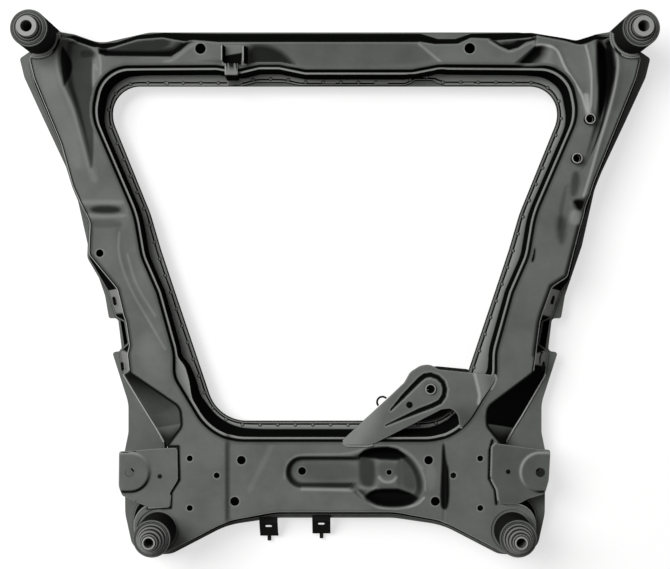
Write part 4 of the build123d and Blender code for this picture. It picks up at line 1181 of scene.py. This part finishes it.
def rod_bracket_surface(x, y):
    """Height and marks of the torque rod bracket: the U bead, the lug's rise and the fold. The marks
    paint shade in the bead and round the notch, and highlight beside the bead, along the fold, on
    the lug and over its end nearest the centre line.
    """
    bead = np.array(ROD_BEAD, float)
    gap, _, along = nearest(np.column_stack([x, y]), bead, closed=False)
    width = np.interp(along, [0, 0.12, 0.3, 0.75, 1.0], [1.5, 3.6, 4.4, 4.0, 1.2])
    sunk = 1 - soft(gap / width, 0.45, 1.1)
    fold_gap = line_gap(x, y, ROD_FOLD)
    outwards = x + 0.2 * y
    collar = 1 - soft(np.hypot(x - ROD_BOLT[0], y - ROD_BOLT[1]), 8.0, 12.0)
    z = ROD_TOP - ROD_BEAD_DEPTH * sunk + ROD_RISE * soft(outwards, 184.0, 212.0) - 0.5 * collar
    notch = 1 - soft(np.hypot(x - ROD_NOTCH[0], y - ROD_NOTCH[1]), 5.0, 30.0)
    clean_and_shaded = np.maximum(soft(sunk, 0.25, 0.6), 0.35 * notch)
    worn_and_highlit = 0.3 * (1 - soft(np.abs(gap - width - 0.8), 0.2, 1.6))
    worn_and_highlit = np.maximum(worn_and_highlit, 0.65 * (1 - soft(fold_gap, 0.6, 4.0)))
    worn_and_highlit = np.maximum(worn_and_highlit, 0.3 * (1 - soft(x - 0.5 * y, 140.0, 175.0)))
    lug = 0.2 * soft(outwards, 186.0, 190.0) * (1 - soft(fold_gap, 2.0, 22.0))
    return z, clean_and_shaded, np.maximum(worn_and_highlit, lug)


def arm_bracket_surface(x, y):
    """Height and marks of a control arm bracket with its raised half round boss.

    The boss's slope carries a painted highlight where it faces the light, from the left and the
    front, and painted shade where it faces away. The right bracket is painted a little darker all
    over, painted shade.
    """
    inward = np.maximum(ARM_BOLT[0] - np.abs(x), 0.0)
    away = np.hypot(inward, y - ARM_BOLT[1])
    boss = 1 - soft(away, *ARM_BOSS)
    slope = 4 * boss * (1 - boss)
    near = np.maximum(away, 1e-3)
    across = np.where(x > 0, inward / near, -0.35 * inward / near)
    facing = across + 0.8 * (y - ARM_BOLT[1]) / near
    clean_and_shaded = np.clip(2 * slope * np.clip(-facing - 0.2, 0, 1), 0, 1)
    worn_and_highlit = 0.55 * slope**2 * np.clip(facing + 0.2, 0, 1)
    clean_and_shaded = np.maximum(clean_and_shaded, np.where(x > 0, 0.28, 0.05))
    return ARM_TOP + ARM_BOSS_RISE * boss, clean_and_shaded, worn_and_highlit


def rimmed_sheet(corners, holes, surface, inset=2.0, pitch=1.5):
    """A flat sheet as points and triangles: its surface inside, and a rim rolled down round it, with
    a painted highlight along the rim's top and painted shade on its edge.
    """
    outline = Outline(corners, 2.0)
    inner = outline.row(-inset)
    height, clean_and_shaded, worn_and_highlit = surface(*inner.T)
    rows = [
        raised(inner, height, clean_and_shaded, worn_and_highlit),
        raised(outline.row(-0.8), height - 0.15, clean_and_shaded, np.maximum(worn_and_highlit, 0.25)),
        raised(outline.row(0.0), height - 0.8, 0.7),
    ]
    points, faces = joined([band(rows), patch(inner, holes, surface, pitch)])
    return welded(points, upward(points[:, :2], faces))


def make_brackets():
    """The torque rod bracket's upper plate and both control arm brackets."""
    rod_holes = [rim_points(ROD_BOLT, 6.0, 40), rim_points(ROD_PEG, 5.0)]
    rod = rimmed_sheet(ROD_BRACKET, rod_holes, rod_bracket_surface)
    build("torque_rod_bracket_sheet", *rod, ("torque_rod_bracket_upper",), ROD_SHEET)
    for name, corners, side, peg in (
        ("left_arm_bracket", LEFT_ARM_BRACKET, -1, (-262.5, -280.5)),
        ("right_arm_bracket", RIGHT_ARM_BRACKET, 1, (259.5, -273.5)),
    ):
        bolt = (side * ARM_BOLT[0], ARM_BOLT[1])
        holes = [rim_points(bolt, 7.0, 40), rim_points(peg, 3.5)]
        arm = rimmed_sheet(corners, holes, arm_bracket_surface)
        build(name + "_sheet", *arm, (name,), ROD_SHEET)


# The hanger: its base and the window of painted shade on it, its ears as x of top and foot and y of
# both ends, and its strap as y, z, half width, painted shade, painted highlight
HANGER_BASE = [(-170, 366, 2), (-131, 366, 2), (-131, 335, 2), (-170, 335, 2)]
HANGER_WINDOW = [(-166, 350), (-139, 354.5), (-140.5, 335.5), (-167, 338.5)]
HANGER_EARS = [((-168.5, -165.3), (364.5, 339)), ((-136.5, -132), (363, 337))]
STRAP_PATH = [
    (338.5, 82.6, 9.6, 0, 0.1), (325, 82.4, 9.8, 0, 0.3), (322, 81.6, 9.8, 0, 0.5),
    (320.8, 79, 9.8, 1, 0), (320, 60, 9.8, 1, 0), (319.4, 43, 9.8, 1, 0),
    (318.4, 40.2, 9.8, 0.3, 0.1), (313, 39.4, 9, 0.3, 0), (310.6, 39.2, 7, 0.8, 0),
]


def ear(tops_and_feet, ends, low=82.0, high=99.0, count=14):
    """A thin leaning plate: a closed five-sided section carried along y, closed at both ends. Its
    sides carry painted shade and its top edge a painted highlight.
    """
    top, foot = tops_and_feet
    share = np.linspace(0, 1, count)
    thick = 1.1 * np.where((share == 0) | (share == 1), 0.01, 1.0)
    round_off = 3.0 * (np.abs(2 * share - 1) ** 8)
    y = ends[0] + (ends[1] - ends[0]) * share
    section = [
        (foot + thick, low, 1.0, 0.0),
        (top + thick, high - 0.4 - round_off, 1.0, 0.0),
        (top + 0 * thick, high - round_off, 0.0, 0.8),
        (top - thick, high - 0.4 - round_off, 0.0, 0.5),
        (foot - thick, low, 1.0, 0.0),
    ]
    return band(np.stack([raised(np.column_stack([x, y]), *rest) for x, *rest in section], 1))


def strap(path, centre, sheet=2.0, across=9):
    """A bent strap: a flat closed section carried along a path of y, z, half width and marks. Its
    edges take a painted highlight where the path is light, and its underside painted shade.
    """
    path = np.array(path, float)
    path = np.concatenate([path[:1], path, path[-1:]])
    u = np.linspace(-1, 1, across)
    y, z, wide, clean_and_shaded, worn_and_highlit = (path[:, k, None] * np.ones(across) for k in range(5))
    wide[[0, -1]] *= 0.01
    edge = (np.abs(u) > 0.9)[None] * (clean_and_shaded < 0.5)
    upper_side = np.stack([centre + wide * u, y, z, clean_and_shaded, np.maximum(worn_and_highlit, 0.6 * edge)], 2)
    under_side = upper_side[:, ::-1].copy()
    under_side[:, :, 2] -= sheet
    under_side[:, :, 3:] = (1.0, 0.0)
    return band(np.concatenate([upper_side, under_side], 1))


HANGER_TOP = 82.3
HANGER_X = -155.5


def hanger_surface(x, y):
    """Height and marks of the hanger's base: painted shade in the window between its ears and along
    its right edge, and a faint painted light elsewhere.
    """
    dark = soft(signed(x, y, HANGER_WINDOW), -0.6, 0.6)
    clean_and_shaded = np.maximum(dark, 0.8 * soft(x, -138.0, -136.0))
    return np.full(len(x), HANGER_TOP), clean_and_shaded, 0.08 * (1 - dark)


def make_hanger():
    """The hanger on the front member: its base, two leaning ears and the bent strap."""
    base = rimmed_sheet(HANGER_BASE, [], hanger_surface, 1.6, 1.0)
    ears = [ear(*place) for place in HANGER_EARS]
    hanger = joined([base, *ears, strap(STRAP_PATH, HANGER_X)])
    build("hanger_pieces", *hanger, ("hanger_bracket",))


# Dark insets of painted shade that stand for the slots of the side walls: x, y, z and how much x
# leans for each step in y. Then the profile of a dark disc of painted shade in the torque rod nut's
# bore, as for the turned pieces below.
SLOTS = [
    (-334.5, -18, 60, -0.24), (-321.9, -117, 62, -0.1), (330, -16.5, 60, 0.24),
    (315.6, -116.2, 62, 0.1),
]
NUT_END = [
    (0.3, 19.5, 1, 0), (5.6, 19.5, 1, 0), (5.8, 17.5, 1, 0), (0.3, 17.5, 1, 0), (0.3, 19.5, 1, 0),
]
SLOT_HALF = 7.0
SLOT_RADIUS = 2.3


def make_insets():
    """Dark insets of painted shade that stand for the side walls' slots, and a dark disc of painted
    shade in the rod nut's bore.
    """
    parts = []
    for x, y, z, lean in SLOTS:
        ends = [(x + side * SLOT_HALF * lean, y + side * SLOT_HALF) for side in (-1, 1)]
        parts.append(weld_bead(ends, z, SLOT_RADIUS))
    points, faces = joined(parts + [turned(ROD_BOLT, NUT_END, 0.0, 24)])
    points[:, 3:] = (1.0, 0.0)
    build("slot_shade_insets", points, faces)


# Bushes and turned pieces: profiles as radius, height, painted shade, painted highlight

FRONT_MOUNT = (446.0, 380.5)
REAR_MOUNT = (266.0, -362.0)
FRONT_RUBBER = [
    (15.2, 18, 0, 0), (21.8, 24, 0, 0), (22.4, 30, 0, 0), (22.4, 138, 0.6, 0),
    (22.3, 141.6, 0, 0.1), (21.6, 142.8, 0, 0.3), (20.4, 142.6, 0.3, 0), (19.6, 141.4, 1, 0),
    (19, 141.8, 0.6, 0), (18.4, 144, 0, 0.2), (17.6, 145.4, 0, 0.3), (16.9, 145.6, 0.3, 0),
    (16.3, 144.6, 1, 0), (15.2, 144.4, 1, 0), (15.2, 18, 0, 0),
]
REAR_RUBBER = [
    (9.7, 10, 0, 0), (21.8, 16, 0, 0), (22.4, 22, 0, 0), (22.4, 148.6, 0, 0),
    (22.2, 150.6, 0, 0.3), (21.2, 151.4, 0, 0.3), (20.4, 151, 0.6, 0), (19.8, 151.6, 1, 0),
    (19.6, 157.4, 0.3, 0), (19, 159, 0, 0.35), (17.8, 160, 0, 0.25), (16.9, 160, 0.7, 0),
    (16.4, 160.8, 1, 0), (16.2, 166.6, 0.3, 0), (15.6, 168.6, 0, 0.4), (14.4, 169.4, 0, 0.25),
    (13.2, 169.2, 0.7, 0), (12.6, 170, 1, 0), (12.4, 174.6, 0.3, 0), (11.8, 176.4, 0, 0.4),
    (10.8, 176.8, 0.2, 0.1), (9.7, 176, 1, 0), (9.7, 10, 0, 0),
]
RING_NUT = [
    (8, 0, 1, 0), (8.2, 9.4, 0.4, 0), (7.9, 11.2, 0, 0.6), (7.3, 12, 0, 0.9), (6.6, 11.9, 0, 0.7),
    (6.1, 11.2, 0.6, 0), (6, 0, 1, 0), (8, 0, 1, 0),
]
COLLAR = [
    (8.4, 0, 1, 0), (8.5, 3, 0.3, 0), (8, 3.8, 0, 0.5), (7, 4, 0, 0.7), (6.3, 3.6, 0.3, 0),
    (6, 0, 1, 0), (8.4, 0, 1, 0),
]
STANDOFFS = [(381.0, 254.5), (361.5, 195.5)]


def turned(centre, profile, base=0.0, count=96):
    """A closed profile of radius, height and marks, carried round an upright axis."""
    rows = [
        raised(rim_points(centre, radius, count), z + base, clean_and_shaded, worn_and_highlit)
        for radius, z, clean_and_shaded, worn_and_highlit in profile
    ]
    return welded(*band(rows))


def make_bushes():
    """The rubbers of the four mounts, the two stand-off rings and the rod bolt's collar."""
    mounts = (("front", FRONT_MOUNT, FRONT_RUBBER), ("rear", REAR_MOUNT, REAR_RUBBER))
    for side, sign in (("left", -1), ("right", 1)):
        for end, (x, y), profile in mounts:
            name = f"{side}_{end}_bush_rubber"
            bush = turned((sign * x, y), profile)
            build(name + "_ring", *bush, (name,), finish=RUBBER, slot="rubber")
    rings = joined([turned(place, RING_NUT, PLATE, 48) for place in STANDOFFS])
    build("standoff_rings", *rings, ("standoff_nuts",))
    collar = turned(ROD_BOLT, COLLAR, ROD_TOP, 48)
    build("torque_rod_collar_ring", *collar, ("torque_rod_collar",))


# Weld beads: line, height, radius. Then the profile of a spot weld as radius, height, painted shade,
# painted highlight.

BEADS = [
    ([(234, -282), (234.6, -262), (235.5, -236), (243, -229.5)], 82, 1.9),
    ([(234, -284), (242.5, -300), (245, -318)], 82, 1.9),
    ([(239.5, -127.5), (243, -134), (240.5, -142), (234, -153)], 79, 2.4),
    ([(230, -162), (219.5, -183), (206, -201), (197.5, -211), (187, -207)], 77, 1.6),
    ([(11, -231), (17, -236), (50, -236.5), (58, -234)], 74.5, 1.8),
    ([(-247, -308), (-248.5, -326), (-281, -328)], 81, 1.5),
    ([(-259.5, 315.5), (-254.5, 315.5)], 36.5, 4.4),
    ([(-163, 318), (-152, 314), (-141, 318)], 37, 2.2),
    ([(-16, 316.5), (2, 316.5)], 36.4, 1.6),
    ([(60, 316), (82, 316)], 36.4, 1.6),
    ([(196, 315), (214, 315)], 36.4, 1.8),
]
SPOT = [
    (0.4, 0.7, 0, 0.1), (1.6, 0.6, 0, 0.15), (2.1, 0.1, 1, 0), (3, 0.1, 0.6, 0), (3, -0.6, 0.6, 0),
    (0.4, -0.6, 0, 0),
]
SPOT_PITCH = 27.0
SPOT_INSET = 6.0
BEAD_STEP = 0.8
RIPPLE = 2.8
RIPPLE_HEIGHT = 0.13
BEAD_FLATNESS = 0.65


def run_along(line):
    """Distance from a line's start to each of its points."""
    steps = np.linalg.norm(np.diff(line, axis=0), axis=1)
    return np.concatenate([[0.0], np.cumsum(steps)])


def spread_along(line, length, place):
    """Points at given distances along a line."""
    return np.stack([np.interp(place, length, line[:, k]) for k in range(2)], 1)


def spot_welds():
    """A row of spot welds in the middle of the bay's flange, at even distances round it."""
    line = bay_outline(BAY_RIGHT_FRONT, BAY_SIDE, BAY_LEFT_FRONT).row(SPOT_INSET)
    ring = np.concatenate([line, line[:1]])
    length = run_along(ring)
    place = np.arange(int(length[-1] / SPOT_PITCH)) * SPOT_PITCH + 6.0
    return [turned(centre, SPOT, FLANGE, 20) for centre in spread_along(ring, length, place)]


def weld_bead(line, z, radius):
    """A rippled bead: a flattened circle carried along a line, its radius waving with distance. Its
    top carries a painted highlight that follows the ripples, and its underside painted shade.
    """
    line = np.array(line, float)
    length = run_along(line)
    place = np.linspace(0, length[-1], max(int(length[-1] / BEAD_STEP), 8))
    middle = spread_along(line, length, place)
    for _ in range(6):
        middle[1:-1] = (middle[:-2] + 2 * middle[1:-1] + middle[2:]) / 4
    along = np.gradient(middle, axis=0)
    along /= np.linalg.norm(along, axis=1)[:, None]
    side = np.stack([-along[:, 1], along[:, 0]], 1)
    ends = np.sqrt(np.clip(np.minimum(place, length[-1] - place) / radius, 0.0004, 1.0))
    wave = 2 * pi * place / RIPPLE
    size = radius * ends * (1 + RIPPLE_HEIGHT * np.sin(wave + np.sin(place / 9.0)))
    turn = np.arange(12) * 2 * pi / 12
    across = size[:, None] * np.cos(turn)
    plan = middle[:, None] + side[:, None] * across[:, :, None]
    height = z + BEAD_FLATNESS * size[:, None] * np.sin(turn)
    worn_and_highlit = np.clip(0.45 * np.sin(turn), 0, 1) * (0.6 + 0.4 * np.sin(wave))[:, None]
    clean_and_shaded = np.broadcast_to(np.clip(-np.sin(turn), 0, 1), height.shape)
    return band(np.concatenate([plan, np.stack([height, clean_and_shaded, worn_and_highlit], 2)], 2))


# Beads round the front tubes: from and to in degrees, radius, height
TUBE_BEADS = [(-108, 8, 29.6, 81.0), (-112, 12, 32.5, 79.5)]


def make_welds():
    """The beads round the brackets and the front tubes, and those of the bay's flange."""
    beads = [weld_bead(*bead) for bead in BEADS]
    for sign in (-1, 1):
        for first, last, radius, z in TUBE_BEADS:
            angle = np.radians(np.linspace(first, last, 24))
            x = -FRONT_MOUNT[0] + radius * np.cos(angle)
            y = FRONT_MOUNT[1] + radius * np.sin(angle)
            beads.append(weld_bead(np.stack([-sign * x, y], 1)[::-sign], z, 2.2))
    build("weld_beads", *joined(beads + spot_welds()), finish=WELD)


# The stage


LAMP_PLACE = (-2.0, 1.2, 3.7)
LAMP_SIZE = 2.4
WORLD_LIGHT = 0.24
FLOOR_REACH = 6.0
FLOOR_LEVEL = -0.0005
FLOOR_SHARE = 0.42
FLOOR_GLOW = 0.64
CAMERA_Y = 0.007
SENSOR = 36.0


def area_light(name, place, aim, size, power):
    """A square area lamp at a place, turned to face its aim."""
    lamp = bpy.data.lights.new(name, "AREA")
    lamp.shape = "SQUARE"
    lamp.size = size
    lamp.energy = power
    holder = bpy.data.objects.new(name, lamp)
    holder.location = place
    holder.rotation_euler = (Vector(aim) - Vector(place)).to_track_quat("-Z", "Y").to_euler()
    bpy.context.scene.collection.objects.link(holder)


def shown_share(tree):
    """One for rays that show the background: from the camera, off gloss or through glass."""
    rays = added(tree, "LightPath").outputs
    total = math_node(tree, "ADD", rays["Is Camera Ray"], rays["Is Glossy Ray"])
    return math_node(tree, "ADD", total, rays["Is Transmission Ray"], clamp=True)


def floor_material(colour):
    """Pale floor: matt, takes the shadow, glows where it is shown, clear when seen from below."""
    material = bpy.data.materials.new("pale floor")
    material.use_nodes = True
    tree = material.node_tree
    shader = tree.nodes["Principled BSDF"]
    shader.inputs["Roughness"].default_value = 0.9
    shader.inputs["Specular IOR Level"].default_value = 0.1
    shader.inputs["Emission Strength"].default_value = 1.0
    shown = shown_share(tree)
    for label, unseen, seen in (
        ("Base Color", colour, [FLOOR_SHARE * part for part in colour]),
        ("Emission Color", [0.0] * 3, [FLOOR_GLOW] * 3),
    ):
        blend = {"Factor": shown, "A": (*unseen, 1.0), "B": (*seen, 1.0)}
        blend = added(tree, "Mix", blend, data_type="RGBA")
        tree.links.new(blend.outputs["Result"], shader.inputs[label])
    below = added(tree, "NewGeometry").outputs["Backfacing"]
    clear = added(tree, "BsdfTransparent").outputs[0]
    either = added(tree, "MixShader", {0: below, 1: shader.outputs[0], 2: clear})
    tree.links.new(either.outputs[0], tree.nodes["Material Output"].inputs["Surface"])
    return material


class SubframeSettings(bpy.types.PropertyGroup):
    """Sizes, colours and light that a user may change before building."""

    coat_deep: bpy.props.FloatVectorProperty(
        name="Coat", description="Colour of the clean black coat",
        subtype="COLOR", size=3, min=0, max=1, default=(0.003, 0.0034, 0.003),
    )
    # Colour of dust on what faces up, which also stands for a painted sheen on the tops
    coat_dust_and_sheen: bpy.props.FloatVectorProperty(
        name="Dusty coat", description="Colour of the coat where it faces up and dust lies on it",
        subtype="COLOR", size=3, min=0, max=1, default=(0.132, 0.139, 0.13),
    )
    floor_colour: bpy.props.FloatVectorProperty(
        name="Floor", description="Colour of the studio floor",
        subtype="COLOR", size=3, min=0, max=1, default=(0.86, 0.86, 0.855),
    )
    camera_height: bpy.props.FloatProperty(
        name="Camera height", description="Height of the camera over the floor",
        subtype="DISTANCE", unit="LENGTH", min=0.5, max=10, default=2.08,
    )
    camera_lens: bpy.props.FloatProperty(
        name="Lens", description="Focal length of the camera in millimetres",
        min=10, max=300, default=71.62,
    )
    top_light: bpy.props.FloatProperty(
        name="Top light", description="Power of the large lamp over the part, in watts",
        subtype="POWER", unit="POWER", min=0, max=500, default=228.0,
    )


def make_world():
    """A white world: dim where it lights the part, full where it is shown."""
    world = bpy.data.worlds.new("studio")
    world.use_nodes = True
    tree = world.node_tree
    background = tree.nodes["Background"].inputs
    background["Color"].default_value = (1.0, 1.0, 1.0, 1.0)
    extra = math_node(tree, "MULTIPLY", shown_share(tree), 1.0 - WORLD_LIGHT)
    tree.links.new(math_node(tree, "ADD", extra, WORLD_LIGHT), background["Strength"])
    return world


class SUBFRAME_OT_stage(bpy.types.Operator):
    """Set the floor, the lamp, the world and the camera"""

    bl_idname = "subframe.stage"
    bl_label = "Stage"

    def execute(self, context):
        scene = context.scene
        settings = scene.subframe
        scene.view_settings.view_transform = "Standard"
        floor_mesh = bpy.data.meshes.new("studio_floor")
        signs = [(-1, -1), (1, -1), (1, 1), (-1, 1)]
        corners = [(FLOOR_REACH * x, FLOOR_REACH * y, FLOOR_LEVEL) for x, y in signs]
        floor_mesh.from_pydata(corners, [], [(0, 1, 2, 3)])
        floor_mesh.materials.append(floor_material(settings.floor_colour))
        floor = bpy.data.objects.new("studio_floor", floor_mesh)
        scene.collection.objects.link(floor)
        area_light("top_lamp", LAMP_PLACE, (0.0, 0.0, 0.0), LAMP_SIZE, settings.top_light)
        scene.world = make_world()
        lens = bpy.data.cameras.new("photo_camera")
        lens.lens = settings.camera_lens
        lens.sensor_width = SENSOR
        lens.sensor_fit = "HORIZONTAL"
        camera = bpy.data.objects.new("photo_camera", lens)
        camera.location = (0.0, CAMERA_Y, settings.camera_height)
        scene.collection.objects.link(camera)
        scene.camera = camera
        return {"FINISHED"}


class SUBFRAME_OT_finishes(bpy.types.Operator):
    """Give every carried node of the part its finish"""

    bl_idname = "subframe.finishes"
    bl_label = "Finishes of the carried pieces"

    def execute(self, context):
        settings = context.scene.subframe
        make_finishes(settings.coat_deep, settings.coat_dust_and_sheen)
        for name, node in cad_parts.items():
            node.data.materials.clear()
            node.data.materials.append(bpy.data.materials[finish_of(name)])
        return {"FINISHED"}


class SUBFRAME_OT_upper_pressings(bpy.types.Operator):
    """Build the four upper pressings with their steps, ridges, valleys, recesses and holes"""

    bl_idname = "subframe.upper_pressings"
    bl_label = "Upper pressings"

    def execute(self, context):
        make_uppers()
        return {"FINISHED"}


class SUBFRAME_OT_brackets(bpy.types.Operator):
    """Build the torque rod bracket with its U bead and the two control arm brackets"""

    bl_idname = "subframe.brackets"
    bl_label = "Brackets"

    def execute(self, context):
        make_brackets()
        return {"FINISHED"}


class SUBFRAME_OT_hanger(bpy.types.Operator):
    """Build the hanger with its window, ears and strap, and the dark insets of painted shade that
    stand for the slots
    """

    bl_idname = "subframe.hanger"
    bl_label = "Hanger and slots"

    def execute(self, context):
        make_hanger()
        make_insets()
        return {"FINISHED"}


class SUBFRAME_OT_bushes(bpy.types.Operator):
    """Build the turned pieces: rubbers of the mounts, stand-off rings and the bolt's collar"""

    bl_idname = "subframe.bushes"
    bl_label = "Bushes and rings"

    def execute(self, context):
        make_bushes()
        return {"FINISHED"}


class SUBFRAME_OT_welds(bpy.types.Operator):
    """Build the weld beads round the brackets, the tubes and the bay's flange"""

    bl_idname = "subframe.welds"
    bl_label = "Weld beads"

    def execute(self, context):
        make_welds()
        return {"FINISHED"}


OPERATORS = [
    SUBFRAME_OT_stage,
    SUBFRAME_OT_finishes,
    SUBFRAME_OT_upper_pressings,
    SUBFRAME_OT_brackets,
    SUBFRAME_OT_hanger,
    SUBFRAME_OT_bushes,
    SUBFRAME_OT_welds,
]


class SUBFRAME_PT_panel(bpy.types.Panel):
    """The steps that dress the subframe, in order"""

    bl_idname = "SUBFRAME_PT_panel"
    bl_label = "Subframe"
    bl_space_type = "VIEW_3D"
    bl_region_type = "UI"
    bl_category = "Subframe"

    def draw(self, context):
        settings = context.scene.subframe
        for name in SubframeSettings.__annotations__:
            self.layout.prop(settings, name)
        for operator in OPERATORS:
            self.layout.operator(operator.bl_idname)


CLASSES = [SubframeSettings, *OPERATORS, SUBFRAME_PT_panel]


def register():
    for each in CLASSES:
        bpy.utils.register_class(each)
    bpy.types.Scene.subframe = bpy.props.PointerProperty(type=SubframeSettings)


def unregister():
    del bpy.types.Scene.subframe
    for each in reversed(CLASSES):
        bpy.utils.unregister_class(each)


def main():
    """Build everything in order."""
    register()
    for operator in OPERATORS:
        group, name = operator.bl_idname.split(".")
        getattr(getattr(bpy.ops, group), name)()


if __name__ == "__main__":
    main()
